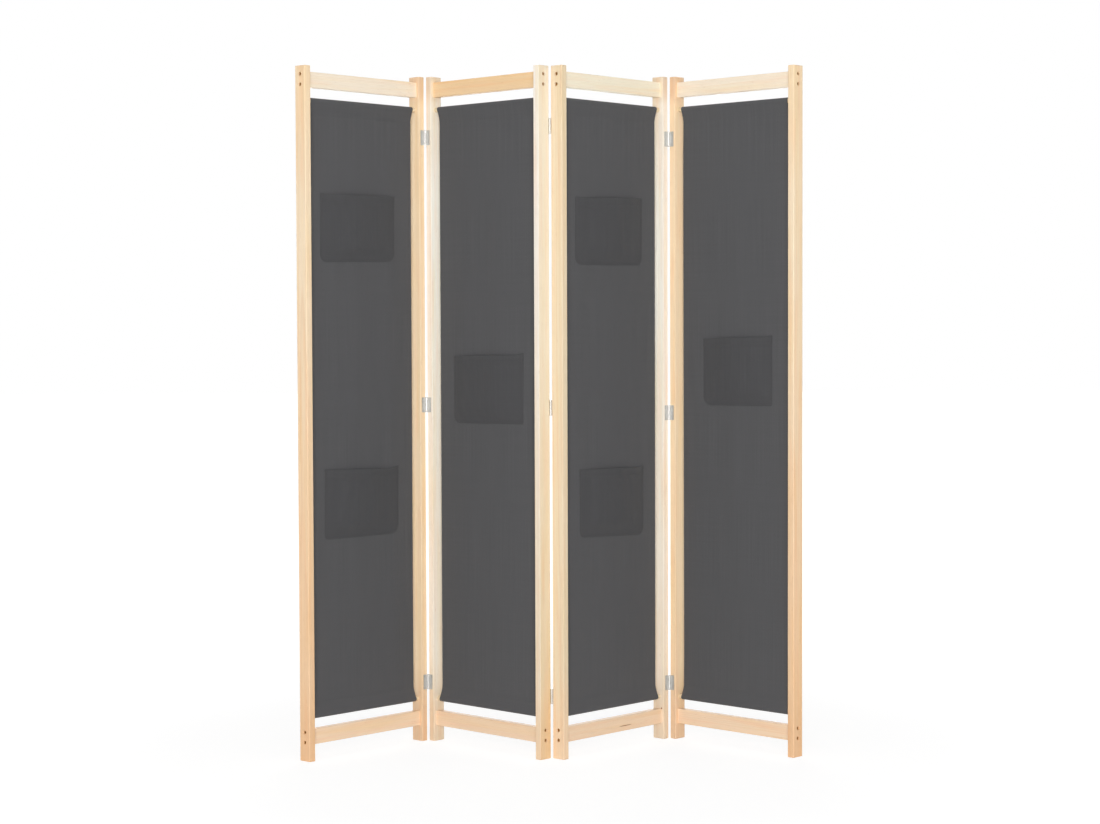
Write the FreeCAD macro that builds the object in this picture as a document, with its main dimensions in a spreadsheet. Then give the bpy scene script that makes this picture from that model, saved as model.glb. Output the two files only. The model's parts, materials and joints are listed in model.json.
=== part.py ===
import FreeCAD, Part
import math
import os
import Sketcher
from FreeCAD import Placement, Rotation, Vector

# Four-panel folding screen: pine frames, cloth hung on rods, patch pockets and steel butt hinges.
# X runs along the screen, Y away from its front, Z up from the floor. Sizes are in millimetres.
DRIVING_SIZES = (
    ("screen_height", 1700, "floor to the top of the stiles"),
    ("panel_width", 400, "one panel over both its stiles"),
    ("panel_turn", 45.5, "degrees between a panel and the line of the screen"),
    ("stile_width", 18, "stile across, in the plane of the panel"),
    ("stile_depth", 36, "stile from front to back"),
    ("stile_gap", 4, "between neighbouring stiles when the screen is flat"),
    ("edge_round", 1.5, "eased long edges of stiles and rails"),
    ("end_ease", 0.8, "small chamfer round the sawn ends of a stile"),
    ("rail_height", 38, "rail, upright"),
    ("rail_thick", 18, "rail, front to back"),
    ("top_rail_drop", 14, "top of the stiles down to the top rail"),
    ("bottom_rail_lift", 40, "floor up to the bottom rail"),
    ("rod_dia", 12, "rod through a casing"),
    ("rod_socket", 9, "depth of the blind socket for a rod's end"),
    ("rod_fit", 0.1, "radial clearance of a rod in its socket"),
    ("rod_end_play", 0.5, "rod's end to the floor of its socket"),
    ("cloth_thick", 1, "one layer of cloth"),
    ("casing_slack", 0.3, "radial clearance of a casing round its rod"),
    ("casing_drop", 30, "rod's centre to the far side of the casing's seam"),
    ("casing_seam", 4, "band in which the casing's two layers are sewn together"),
    ("casing_gap", 24, "rail to the edge of the casing"),
    ("casing_end_gap", 10, "end of a casing to the stile"),
    ("side_gap", 13, "drawn-in side of the cloth to the stile"),
    ("flare_height", 30, "stretch over which the side runs out to the casing's end"),
    ("pocket_height", 173, "pocket, upright"),
    ("pocket_corner", 18, "rounded lower corners of a pocket"),
    ("pocket_seam", 6, "sewn margin of a pocket"),
    ("pocket_foot", 0.6, "how far the pocket arches out at its bottom seam"),
    ("pocket_belly", 8, "how far it arches out at its belly"),
    ("pocket_belly_lift", 35, "bottom of the pocket up to its belly"),
    ("pocket_mouth", 9, "how far it arches out at its mouth"),
    ("pocket_1_upper_width", 248, "pocket across"),
    ("pocket_1_upper_shift", -13, "middle of the panel to the middle of the pocket"),
    ("pocket_1_upper_drop", 230, "top of the cloth down to the pocket's mouth"),
    ("pocket_1_lower_width", 248, "pocket across"),
    ("pocket_1_lower_shift", -7, "middle of the panel to the middle of the pocket"),
    ("pocket_1_lower_drop", 910, "top of the cloth down to the pocket's mouth"),
    ("pocket_2_width", 247, "pocket across"),
    ("pocket_2_shift", 4, "middle of the panel to the middle of the pocket"),
    ("pocket_2_drop", 627, "top of the cloth down to the pocket's mouth"),
    ("pocket_3_upper_width", 252, "pocket across"),
    ("pocket_3_upper_shift", -6, "middle of the panel to the middle of the pocket"),
    ("pocket_3_upper_drop", 233, "top of the cloth down to the pocket's mouth"),
    ("pocket_3_lower_width", 242, "pocket across"),
    ("pocket_3_lower_shift", 1, "middle of the panel to the middle of the pocket"),
    ("pocket_3_lower_drop", 910, "top of the cloth down to the pocket's mouth"),
    ("pocket_4_width", 224, "pocket across"),
    ("pocket_4_shift", 10, "middle of the panel to the middle of the pocket"),
    ("pocket_4_drop", 586, "top of the cloth down to the pocket's mouth"),
    ("frame_screw_dia", 4, "shank of a screw that holds a rail"),
    ("frame_screw_length", 50, "its shank below the head"),
    ("frame_screw_head", 8.6, "its head across"),
    ("frame_screw_head_height", 3, "its head, in depth"),
    ("frame_screw_drive", 4.6, "its hexagon socket, over the corners"),
    ("frame_screw_drive_depth", 2, "depth of that socket"),
    ("frame_screw_pitch", 25, "between the two screws in a rail's end"),
    ("counterbore_dia", 9.4, "sunk hole for the head in the stile"),
    ("counterbore_depth", 5.5, "depth of that hole"),
    ("screw_fit", 0.05, "radial clearance of a screw in its hole"),
    ("hinge_height", 38, "hinge along its pin"),
    ("left_seam_low", 152, "floor to the middle of the lowest hinge"),
    ("left_seam_middle", 15, "half the screen's height up to the middle hinge"),
    ("left_seam_high", 154, "top of the stiles down to the middle of the highest hinge"),
    ("centre_seam_low", 154, "floor to the middle of the lowest hinge"),
    ("centre_seam_middle", 15, "half the screen's height up to the middle hinge"),
    ("centre_seam_high", 147, "top of the stiles down to the middle of the highest hinge"),
    ("right_seam_low", 145, "floor to the middle of the lowest hinge"),
    ("right_seam_middle", -8, "half the screen's height up to the middle hinge"),
    ("right_seam_high", 158, "top of the stiles down to the middle of the highest hinge"),
    ("leaf_width", 15, "pin's axis to the outer edge of a leaf"),
    ("leaf_thick", 1.2, "hinge plate"),
    ("leaf_corner", 2, "rounded outer corners of a leaf"),
    ("leaf_parting", 0.8, "between the two leaves of a closed hinge"),
    ("knuckle_wall", 1.15, "rolled wall round the pin"),
    ("knuckle_play", 0.2, "between neighbouring knuckles"),
    ("notch_play", 0.4, "knuckle to the notch in the other leaf"),
    ("pin_dia", 3, "hinge pin"),
    ("pin_fit", 0.05, "radial clearance of the pin in its knuckles"),
    ("pin_head", 4.4, "burred ends of the pin, across"),
    ("pin_head_height", 0.7, "burred ends of the pin, along it"),
    ("hinge_screw_dia", 2.8, "shank of a hinge screw"),
    ("hinge_screw_head", 5, "its countersunk head across"),
    ("hinge_screw_length", 12, "its whole length"),
    ("hinge_screw_point", 3, "its pointed end"),
    ("hinge_screw_tip", 0.8, "flat at the end of the point, across"),
    ("hinge_screw_pitch", 22, "between the two screws of a leaf"),
    ("pilot_spare", 1, "pilot holes run on past the screw's end"),
)

KNUCKLES_PER_HINGE = 5
PANELS = (1, 2, 3, 4)

# Seam, panel at its left, face of the stiles that carries the hinges, panel whose leaf holds the pins.
SEAMS = (
    ("left_seam", 1, "front", 2),
    ("centre_seam", 2, "back", 2),
    ("right_seam", 3, "front", 3),
)

POCKETS = {
    1: ("upper", "lower"),
    2: ("",),
    3: ("upper", "lower"),
    4: ("",),
}

doc = FreeCAD.newDocument("folding_screen")
sheet = doc.addObject("Spreadsheet::Sheet", "dims")
for row, (alias, size, note) in enumerate(DRIVING_SIZES, 1):
    sheet.set("A%d" % row, note)
    sheet.set("B%d" % row, str(size))
    sheet.setAlias("B%d" % row, alias)
doc.recompute()


def value(expression):
    return float(sheet.evalExpression(expression))


# Sizes and levels that follow from the driving ones, as expressions on the sheet.
inner_width = "(dims.panel_width - 2 * dims.stile_width)"
mid_depth = "(dims.stile_depth / 2)"
top_rail_level = "(dims.screen_height - dims.top_rail_drop - dims.rail_height)"
casing_radius = "(dims.rod_dia / 2 + dims.casing_slack + dims.cloth_thick)"
cloth_top = "(%s - dims.casing_gap)" % top_rail_level
cloth_bottom = "(dims.bottom_rail_lift + dims.rail_height + dims.casing_gap)"
top_rod_level = "(%s - %s)" % (cloth_top, casing_radius)
bottom_rod_level = "(%s + %s)" % (cloth_bottom, casing_radius)
rail_levels = (top_rail_level, "dims.bottom_rail_lift")
rail_screw_offsets = tuple("(dims.rail_height / 2 %s dims.frame_screw_pitch / 2)" % sign for sign in "+-")
rail_screw_levels = tuple("(%s + %s)" % (rail, screw) for rail in rail_levels for screw in rail_screw_offsets)
screw_hole_dia = "(dims.frame_screw_dia + 2 * dims.screw_fit)"
screw_grip = "(dims.frame_screw_length - dims.stile_width + dims.counterbore_depth)"
pin_rise = "(dims.leaf_thick + dims.leaf_parting / 2)"
knuckle_bore = "(dims.pin_dia / 2 + dims.pin_fit)"
knuckle_radius = "(%s + dims.knuckle_wall)" % knuckle_bore
notch_edge = "(%s + dims.notch_play)" % knuckle_radius
knuckle_pitch = "(dims.hinge_height / %d)" % KNUCKLES_PER_HINGE
leaf_screw_reach = "((%s + dims.leaf_width) / 2)" % notch_edge
leaf_screw_inset = "(%s - dims.stile_gap / 2)" % leaf_screw_reach
leaf_screw_offsets = tuple("(dims.hinge_height / 2 %s dims.hinge_screw_pitch / 2)" % sign for sign in "+-")
# A pilot is also wide enough for the part of a head that a thin leaf leaves below it.
head_below_leaf = "(dims.hinge_screw_head - 2 * dims.leaf_thick)"
hinge_pilot_dia = "(max(dims.hinge_screw_dia; %s) + 2 * dims.screw_fit)" % head_below_leaf


def hinge_levels(seam):
    return (
        "dims.%s_low" % seam,
        "(dims.screen_height / 2 + dims.%s_middle)" % seam,
        "(dims.screen_height - dims.%s_high)" % seam,
    )


def hinge_screw_levels(seam):
    return ["(%s - dims.hinge_height / 2 + %s)" % (hinge, screw)
            for hinge in hinge_levels(seam) for screw in leaf_screw_offsets]


def new_body(label):
    body = doc.addObject("PartDesign::Body", label)
    body.Label = label
    return body


def new_sketch(body, name, plane, offset="0"):
    sketch = body.newObject("Sketcher::SketchObject", "%s_%s" % (body.Label, name))
    support = next(item for item in body.Origin.OriginFeatures if item.Role == plane)
    sketch.AttachmentSupport = [(support, "")]
    sketch.MapMode = "FlatFace"
    sketch.setExpression("AttachmentOffset.Base.z", offset)
    return sketch


def bind(sketch, expression, kind, *places):
    index = sketch.addConstraint(Sketcher.Constraint(kind, *places, value(expression)))
    sketch.setExpression("Constraints[%d]" % index, expression)


def join(sketch, first, first_end, second, second_end):
    sketch.addConstraint(Sketcher.Constraint("Coincident", first, first_end, second, second_end))


def locate(sketch, item, end, x, y):
    for axis, way, expression in ((-2, "DistanceX", x), (-1, "DistanceY", y)):
        if expression == "0":
            sketch.addConstraint(Sketcher.Constraint("PointOnObject", item, end, axis))
        else:
            bind(sketch, expression, way, -1, 1, item, end)


def spot(x, y):
    return Vector(value(x), value(y), 0)


def path(sketch, points):
    # A chain of straight lines through located points, and the numbers of its first and last line.
    lines = []
    for start, end in zip(points, points[1:]):
        lines.append(sketch.addGeometry(Part.LineSegment(spot(*start), spot(*end)), False))
        locate(sketch, lines[-1], 1, *start)
        if len(lines) > 1:
            join(sketch, lines[-2], 2, lines[-1], 1)
    locate(sketch, lines[-1], 2, *points[-1])
    return lines[0], lines[-1]


def polygon(sketch, points):
    first, last = path(sketch, points)
    closing = sketch.addGeometry(Part.LineSegment(spot(*points[-1]), spot(*points[0])), False)
    join(sketch, last, 2, closing, 1)
    join(sketch, closing, 2, first, 1)


def circle(sketch, x, y, diameter):
    item = sketch.addGeometry(Part.Circle(spot(x, y), Vector(0, 0, 1), value(diameter) / 2), False)
    bind(sketch, diameter, "Diameter", item)
    locate(sketch, item, 3, x, y)


def arc_between(sketch, first, last, radius, swell):
    # Closes a chain: an arc of the given radius from the end of last back to the start of first.
    # It bulges to the right of that run where swell is +1, to the left where it is -1.
    start = sketch.getPoint(last, 2)
    end = sketch.getPoint(first, 1)
    chord = end - start
    size = value(radius)
    side = Vector(chord.y, -chord.x, 0).normalize() * swell
    sagitta = size - math.sqrt(size ** 2 - (chord.Length / 2) ** 2)
    crest = (start + end) * 0.5 + side * sagitta
    arc = Part.Arc(start, crest, end)
    item = sketch.addGeometry(arc, False)
    gaps = [sketch.getPoint(item, end).distanceToPoint(start) for end in (1, 2)]
    runs_forward = gaps[0] < gaps[1]
    join(sketch, last, 2, item, 1 if runs_forward else 2)
    join(sketch, first, 1, item, 2 if runs_forward else 1)
    bind(sketch, radius, "Radius", item)


def pad(body, sketch, length, reverse=False):
    feature = body.newObject("PartDesign::Pad", sketch.Label + "_pad")
    feature.Profile = sketch
    feature.Reversed = reverse
    feature.setExpression("Length", length)
    doc.recompute()
    return feature


def check_cut(body, before, feature):
    doc.recompute()
    if not body.Shape.Volume < before:
        raise RuntimeError("%s cuts nothing" % feature.Label)


def cut_through(body, sketch):
    before = body.Shape.Volume
    feature = body.newObject("PartDesign::Pocket", sketch.Label + "_cut")
    feature.Profile = sketch
    feature.Type = "ThroughAll"
    check_cut(body, before, feature)


def drill(body, sketch, diameter, depth, reverse, head=None):
    # Flat-bottomed holes at the sketch's circles. head is (kind, diameter, depth or None).
    doc.recompute()
    before = body.Shape.Volume
    feature = body.newObject("PartDesign::Hole", sketch.Label + "_holes")
    feature.Profile = sketch
    doc.recompute()
    feature.DepthType = "Dimension"
    feature.DrillPoint = "Flat"
    feature.Reversed = reverse
    feature.setExpression("Diameter", diameter)
    feature.setExpression("Depth", depth)
    if head:
        kind, head_diameter, head_depth = head
        feature.HoleCutType = kind
        feature.setExpression("HoleCutDiameter", head_diameter)
        if head_depth:
            feature.setExpression("HoleCutDepth", head_depth)
    check_cut(body, before, feature)


def round_edges(body, feature, way, radius, keep=lambda edge: True):
    names = []
    for number, edge in enumerate(feature.Shape.Edges, 1):
        along = edge.tangentAt(edge.FirstParameter)
        if abs(along.dot(way)) > 0.999 and keep(edge):
            names.append("Edge%d" % number)
    fillet = body.newObject("PartDesign::Fillet", body.Label + "_eased")
    fillet.Base = (feature, names)
    fillet.setExpression("Radius", radius)
    doc.recompute()
    return fillet


def ease_ends(body, feature, size):
    # On an upright strip only the outlines of the two end faces lie level.
    level = 1e-3
    names = ["Edge%d" % number for number, edge in enumerate(feature.Shape.Edges, 1)
             if edge.BoundBox.ZLength < level]
    chamfer = body.newObject("PartDesign::Chamfer", body.Label + "_ends")
    chamfer.Base = (feature, names)
    chamfer.setExpression("Size", size)
    doc.recompute()


def make_stile(label, seam, hinge_face):
    # Own frame: X from the outer to the inner face, Y through the depth, Z up.
    body = new_body(label)
    section = new_sketch(body, "section", "XY_Plane")
    width, depth = "dims.stile_width", "dims.stile_depth"
    polygon(section, (("0", "0"), (width, "0"), (width, depth), ("0", depth)))
    strip = pad(body, section, "dims.screen_height")
    eased = round_edges(body, strip, Vector(0, 0, 1), "dims.edge_round")
    ease_ends(body, eased, "dims.end_ease")

    socket_dia = "(dims.rod_dia + 2 * dims.rod_fit)"
    sockets = new_sketch(body, "rod_sockets", "YZ_Plane", width)
    for level in (top_rod_level, bottom_rod_level):
        circle(sockets, mid_depth, level, socket_dia)
    drill(body, sockets, socket_dia, "dims.rod_socket", False)

    rail_screws = new_sketch(body, "rail_screws", "YZ_Plane")
    for level in rail_screw_levels:
        circle(rail_screws, mid_depth, level, screw_hole_dia)
    sunk_head = ("Counterbore", "dims.counterbore_dia", "dims.counterbore_depth")
    drill(body, rail_screws, screw_hole_dia, width, True, sunk_head)

    if hinge_face:
        at_origin = hinge_face == "near_origin"
        pilots = new_sketch(body, "hinge_pilots", "XZ_Plane", "0" if at_origin else "-dims.stile_depth")
        for level in hinge_screw_levels(seam):
            circle(pilots, leaf_screw_inset, level, hinge_pilot_dia)
        depth_in_wood = "(dims.hinge_screw_length - dims.leaf_thick + dims.pilot_spare)"
        drill(body, pilots, hinge_pilot_dia, depth_in_wood, not at_origin)
    return body


def make_rail(label):
    # Own frame: X along the rail, Y through its thickness, Z up.
    body = new_body(label)
    section = new_sketch(body, "section", "YZ_Plane")
    thick, height = "dims.rail_thick", "dims.rail_height"
    polygon(section, (("0", "0"), (thick, "0"), (thick, height), ("0", height)))
    strip = pad(body, section, inner_width)
    round_edges(body, strip, Vector(1, 0, 0), "dims.edge_round")
    pilot_depth = "(%s + dims.pilot_spare)" % screw_grip
    for end, offset, reverse in (("left", "0", True), ("right", inner_width, False)):
        pilots = new_sketch(body, end + "_pilots", "YZ_Plane", offset)
        for level in rail_screw_offsets:
            circle(pilots, "(dims.rail_thick / 2)", level, screw_hole_dia)
        drill(body, pilots, screw_hole_dia, pilot_depth, reverse)
    return body


def make_rod(label):
    rod = doc.addObject("Part::Cylinder", label)
    rod.Label = label
    rod.setExpression("Radius", "dims.rod_dia / 2")
    rod.setExpression("Height", "%s + 2 * (dims.rod_socket - dims.rod_end_play)" % inner_width)
    return rod


def teardrop(sketch, level, radius, tip, half_width):
    # Cloth running round a rod and down to its seam: an arc with two lines tangent to it.
    # The lines end half_width either side of the middle at the height tip.
    middle = casing_radius
    upright = 1 if value(level) > value(tip) else -1
    round_rod = Part.Circle(spot(middle, level), Vector(0, 0, 1), value(radius))
    spread = math.hypot(value(half_width), value(level) - value(tip))
    touch = math.acos(value(radius) / spread) - math.acos(value(half_width) / spread)
    ends = (touch, math.pi - touch) if upright > 0 else (math.pi + touch, 2 * math.pi - touch)
    arc = sketch.addGeometry(Part.ArcOfCircle(round_rod, *ends), False)
    locate(sketch, arc, 3, middle, level)
    bind(sketch, radius, "Radius", arc)
    feet = []
    for end, sign in ((1, upright), (2, -upright)):
        foot = middle if half_width == "0" else "(%s %s %s)" % (middle, "+" if sign > 0 else "-", half_width)
        line = sketch.addGeometry(Part.LineSegment(sketch.getPoint(arc, end), spot(foot, tip)), False)
        sketch.addConstraint(Sketcher.Constraint("Tangent", arc, end, line, 1))
        feet.append((line, foot))
    locate(sketch, feet[0][0], 2, feet[0][1], tip)
    if half_width == "0":
        join(sketch, feet[0][0], 2, feet[1][0], 2)
    else:
        locate(sketch, feet[1][0], 2, feet[1][1], tip)
        seam = sketch.addGeometry(Part.LineSegment(spot(feet[0][1], tip), spot(feet[1][1], tip)), False)
        join(sketch, feet[0][0], 2, seam, 1)
        join(sketch, feet[1][0], 2, seam, 2)


def make_cloth(label):
    # Own frame: X from the left stile's inner face, Y from the front of the casings, Z up from the floor.
    body = new_body(label)
    casing_width = "(%s - 2 * dims.casing_end_gap)" % inner_width
    front, back = ("(%s %s dims.cloth_thick / 2)" % (casing_radius, sign) for sign in "-+")
    low_seam = "(%s + dims.casing_drop)" % bottom_rod_level
    high_seam = "(%s - dims.casing_drop)" % top_rod_level

    def add_casing(name, rod_level, seam, sewn_from):
        casing = new_sketch(body, name, "YZ_Plane", "dims.casing_end_gap")
        teardrop(casing, rod_level, casing_radius, seam, "dims.cloth_thick")
        teardrop(casing, rod_level, "(%s - dims.cloth_thick)" % casing_radius, sewn_from, "0")
        pad(body, casing, casing_width)

    # Each solid has to touch the last one, so the flat cloth comes between its two casings.
    add_casing("bottom_casing", bottom_rod_level, low_seam, "(%s - dims.casing_seam)" % low_seam)
    flat = new_sketch(body, "flat", "YZ_Plane", "dims.casing_end_gap")
    polygon(flat, ((front, low_seam), (back, low_seam), (back, high_seam), (front, high_seam)))
    pad(body, flat, casing_width)
    add_casing("top_casing", top_rod_level, high_seam, "(%s + dims.casing_seam)" % high_seam)

    # The sides are drawn in between the casings and flare out to the casings' ends.
    draw_in = "(dims.side_gap - dims.casing_end_gap)"
    flare_radius = "((%s ^ 2 + dims.flare_height ^ 2) / (2 * %s))" % (draw_in, draw_in)
    sides = new_sketch(body, "sides", "XZ_Plane")
    for from_left in (True, False):
        def across(x):
            return x if from_left else "(%s - %s)" % (inner_width, x)
        edge = "0" if from_left else inner_width
        corner, drawn = across("dims.casing_end_gap"), across("dims.side_gap")
        low, high = "(%s + dims.flare_height)" % cloth_bottom, "(%s - dims.flare_height)" % cloth_top
        ends = ((corner, cloth_bottom), (edge, cloth_bottom), (edge, cloth_top), (corner, cloth_top))
        outer = path(sides, ends)
        inner = path(sides, ((drawn, high), (drawn, low)))
        swell = 1 if from_left else -1
        for start, end in ((outer[1], inner[0]), (inner[1], outer[0])):
            arc_between(sides, end, start, flare_radius, -swell)
    cut_through(body, sides)
    return body


def arched_section(sketch, left, right, rise, arch):
    # A shallow arch on a straight foot: rise is the height of its two ends above the foot.
    radius = "(((%s - %s) ^ 2 / 4 + %s ^ 2) / (2 * %s))" % (right, left, arch, arch)
    if rise == "0":
        first, last = path(sketch, ((left, "0"), (right, "0")))
    else:
        first, last = path(sketch, ((left, rise), (left, "0"), (right, "0"), (right, rise)))
    arc_between(sketch, first, last, radius, 1)


def make_pocket(label, width):
    # Own frame: X across, Y out from the cloth, Z up from the pocket's bottom edge.
    body = new_body(label)
    levels = ("0", "dims.pocket_belly_lift", "dims.pocket_height")
    arches = ("dims.pocket_foot", "dims.pocket_belly", "dims.pocket_mouth")
    outside = []
    for number, (level, arch) in enumerate(zip(levels, arches)):
        sketch = new_sketch(body, "outside_%d" % number, "XY_Plane", level)
        arched_section(sketch, "0", width, "dims.cloth_thick", arch)
        outside.append(sketch)
    wall = body.newObject("PartDesign::AdditiveLoft", label + "_wall")
    wall.Profile = outside[0]
    wall.Sections = outside[1:]
    wall.Ruled = True
    doc.recompute()
    before = body.Shape.Volume

    inside = []
    margins = ("(dims.pocket_seam + dims.pocket_corner / 2)", "dims.pocket_seam", "dims.pocket_seam")
    inner_levels = ("dims.pocket_seam",) + levels[1:]
    for number, (level, arch, margin) in enumerate(zip(inner_levels, arches, margins)):
        sketch = new_sketch(body, "inside_%d" % number, "XY_Plane", level)
        arched_section(sketch, margin, "(%s - %s)" % (width, margin), "0", arch)
        inside.append(sketch)
    hollow = body.newObject("PartDesign::SubtractiveLoft", label + "_hollow")
    hollow.Profile = inside[0]
    hollow.Sections = inside[1:]
    hollow.Ruled = True
    check_cut(body, before, hollow)

    corners = new_sketch(body, "corners", "XZ_Plane")
    for from_left in (True, False):
        edge = "0" if from_left else width
        along = "dims.pocket_corner" if from_left else "(%s - dims.pocket_corner)" % width
        first, last = path(corners, ((edge, "dims.pocket_corner"), (edge, "0"), (along, "0")))
        arc_between(corners, first, last, "dims.pocket_corner", 1 if from_left else -1)
    cut_through(body, corners)
    return body


def make_leaf(label, knuckles, first_knuckle):
    # Own frame: X from the pin's axis along the leaf, Y out from the wood, Z along the pin.
    body = new_body(label)
    plate = new_sketch(body, "plate", "XZ_Plane")
    edge, height = "dims.leaf_width", "dims.hinge_height"
    polygon(plate, ((notch_edge, "0"), (edge, "0"), (edge, height), (notch_edge, height)))
    sheet_metal = pad(body, plate, "dims.leaf_thick", True)
    outer_edge = value(edge)
    round_edges(body, sheet_metal, Vector(0, 1, 0), "dims.leaf_corner",
                lambda item: abs(item.CenterOfMass.x - outer_edge) < 1e-6)

    screws = new_sketch(body, "screws", "XZ_Plane", "-dims.leaf_thick")
    hole_dia = "(dims.hinge_screw_dia + 2 * dims.screw_fit)"
    for offset in leaf_screw_offsets:
        circle(screws, leaf_screw_reach, offset, hole_dia)
    sunk_head = ("Countersink", "(dims.hinge_screw_head + 4 * dims.screw_fit)", None)
    drill(body, screws, hole_dia, "(2 * dims.leaf_thick)", True, sunk_head)

    # One rolled knuckle with the tab that runs on into the plate, repeated along the pin.
    start = "(%d * %s + dims.knuckle_play / 2)" % (first_knuckle, knuckle_pitch)
    roll = new_sketch(body, "knuckle", "XY_Plane", start)
    top_meet = "sqrt(%s ^ 2 - (%s - dims.leaf_thick) ^ 2)" % (knuckle_radius, pin_rise)
    low_meet = "sqrt(%s ^ 2 - %s ^ 2)" % (knuckle_radius, pin_rise)
    tab = ((low_meet, "0"), (notch_edge, "0"), (notch_edge, "dims.leaf_thick"), (top_meet, "dims.leaf_thick"))
    first, last = path(roll, tab)
    centre, radius = spot("0", pin_rise), value(knuckle_radius)
    angles = [math.atan2(sketch_point.y - centre.y, sketch_point.x)
              for sketch_point in (roll.getPoint(last, 2), roll.getPoint(first, 1))]
    arc = Part.ArcOfCircle(Part.Circle(centre, Vector(0, 0, 1), radius), angles[0], angles[1] + 2 * math.pi)
    item = roll.addGeometry(arc, False)
    join(roll, last, 2, item, 1)
    join(roll, first, 1, item, 2)
    bind(roll, knuckle_radius, "Radius", item)
    circle(roll, "0", pin_rise, "(2 * %s)" % knuckle_bore)
    knuckle = pad(body, roll, "(%s - dims.knuckle_play)" % knuckle_pitch)

    repeat = body.newObject("PartDesign::LinearPattern", label + "_knuckles")
    repeat.Originals = [knuckle]
    axis = next(item for item in body.Origin.OriginFeatures if item.Role == "Z_Axis")
    repeat.Direction = (axis, [""])
    repeat.Occurrences = knuckles
    repeat.setExpression("Length", "%d * %s" % (2 * (knuckles - 1), knuckle_pitch))
    body.Tip = repeat
    doc.recompute()
    return body


def revolve(label, points):
    body = new_body(label)
    profile = new_sketch(body, "profile", "XZ_Plane")
    polygon(profile, points)
    turned = body.newObject("PartDesign::Revolution", label + "_turned")
    turned.Profile = profile
    turned.ReferenceAxis = (profile, ["V_Axis"])
    turned.Angle = 360
    doc.recompute()
    return body


def make_pin(label):
    # Own frame: Z along the pin, from the lower burred end up.
    shank, head = "(dims.pin_dia / 2)", "(dims.pin_head / 2)"
    low = "dims.pin_head_height"
    high = "(dims.pin_head_height + dims.hinge_height - dims.knuckle_play)"
    end = "(%s + dims.pin_head_height)" % high
    lower_half = (("0", "0"), (head, "0"), (head, low), (shank, low))
    upper_half = ((shank, high), (head, high), (head, end), ("0", end))
    return revolve(label, lower_half + upper_half)


def make_frame_screw(label):
    # Own frame: Z along the screw, from the end of its shank up to the head.
    shank, head = "(dims.frame_screw_dia / 2)", "(dims.frame_screw_head / 2)"
    seat = "dims.frame_screw_length"
    top = "(dims.frame_screw_length + dims.frame_screw_head_height)"
    body = revolve(label, (("0", "0"), (shank, "0"), (shank, seat), (head, seat), (head, top), ("0", top)))
    socket = new_sketch(body, "drive", "XY_Plane", top)
    corner = "(dims.frame_screw_drive / 2 * %s(%d))"
    polygon(socket, [(corner % ("cos", turn), corner % ("sin", turn)) for turn in range(30, 390, 60)])
    before = body.Shape.Volume
    cut = body.newObject("PartDesign::Pocket", label + "_socket")
    cut.Profile = socket
    cut.setExpression("Length", "dims.frame_screw_drive_depth")
    check_cut(body, before, cut)
    return body


def make_hinge_screw(label):
    # Own frame: Z along the screw, from its point up to the flat of its countersunk head.
    shank, head = "(dims.hinge_screw_dia / 2)", "(dims.hinge_screw_head / 2)"
    tip, point, top = "(dims.hinge_screw_tip / 2)", "dims.hinge_screw_point", "dims.hinge_screw_length"
    neck = "(%s - (%s - %s))" % (top, head, shank)
    return revolve(label, (("0", "0"), (tip, "0"), (shank, point), (shank, neck), (head, top), ("0", top)))


def group(label, source, places):
    copies = []
    for number, place in enumerate(places, 1):
        copy = doc.addObject("App::Link", "%s_%d" % (label, number))
        copy.LinkedObject = source
        copy.LinkTransform = False
        copy.Placement = place
        copies.append(copy)
    bundle = doc.addObject("Part::Compound", label)
    bundle.Label = label
    bundle.Links = copies
    return bundle


def panel_places():
    # Each panel's own frame: X from its left edge, Y from its front face, Z up from the floor.
    turn = math.radians(value("dims.panel_turn"))
    width, depth, rise = value("dims.panel_width"), value("dims.stile_depth"), value(pin_rise)
    half_gap = value("dims.stile_gap") / 2
    run = (width + 2 * half_gap) * math.sin(turn) - (depth + 2 * rise) * math.cos(turn)
    ridge = Vector(0, -run / 2, 0)
    right_edge, left_edge = width + half_gap, -half_gap
    rotations = {number: Rotation(Vector(0, 0, 1), value("dims.panel_turn") * (1 if number % 2 else -1))
                 for number in PANELS}

    def hung(number, pivot, x, y):
        return Placement(pivot - rotations[number].multVec(Vector(x, y, 0)), rotations[number])

    places = {2: hung(2, ridge, right_edge, depth + rise), 3: hung(3, ridge, left_edge, depth + rise)}
    places[1] = hung(1, places[2].multVec(Vector(left_edge, -rise, 0)), right_edge, -rise)
    places[4] = hung(4, places[3].multVec(Vector(right_edge, -rise, 0)), left_edge, -rise)
    return places


def at(x, y, z, turn=None):
    return Placement(spot(x, y) + Vector(0, 0, value(z)), turn or Rotation())


about_x, about_y, about_z = Vector(1, 0, 0), Vector(0, 1, 0), Vector(0, 0, 1)
panels = panel_places()
nodes = []


def place(piece, panel, local):
    piece.Placement = panels[panel].multiply(local)
    nodes.append(piece)


frame_screw = make_frame_screw("frame_screw")
hinge_screw = make_hinge_screw("hinge_screw")
hinge_pin = make_pin("hinge_pin")
pin_leaf = make_leaf("pin_leaf", (KNUCKLES_PER_HINGE + 1) // 2, 0)
free_leaf = make_leaf("free_leaf", KNUCKLES_PER_HINGE // 2, 1)

hinged_sides = {}
for seam, left_panel, face, _ in SEAMS:
    hinged_sides[left_panel, "right"] = (seam, face)
    hinged_sides[left_panel + 1, "left"] = (seam, face)

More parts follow.
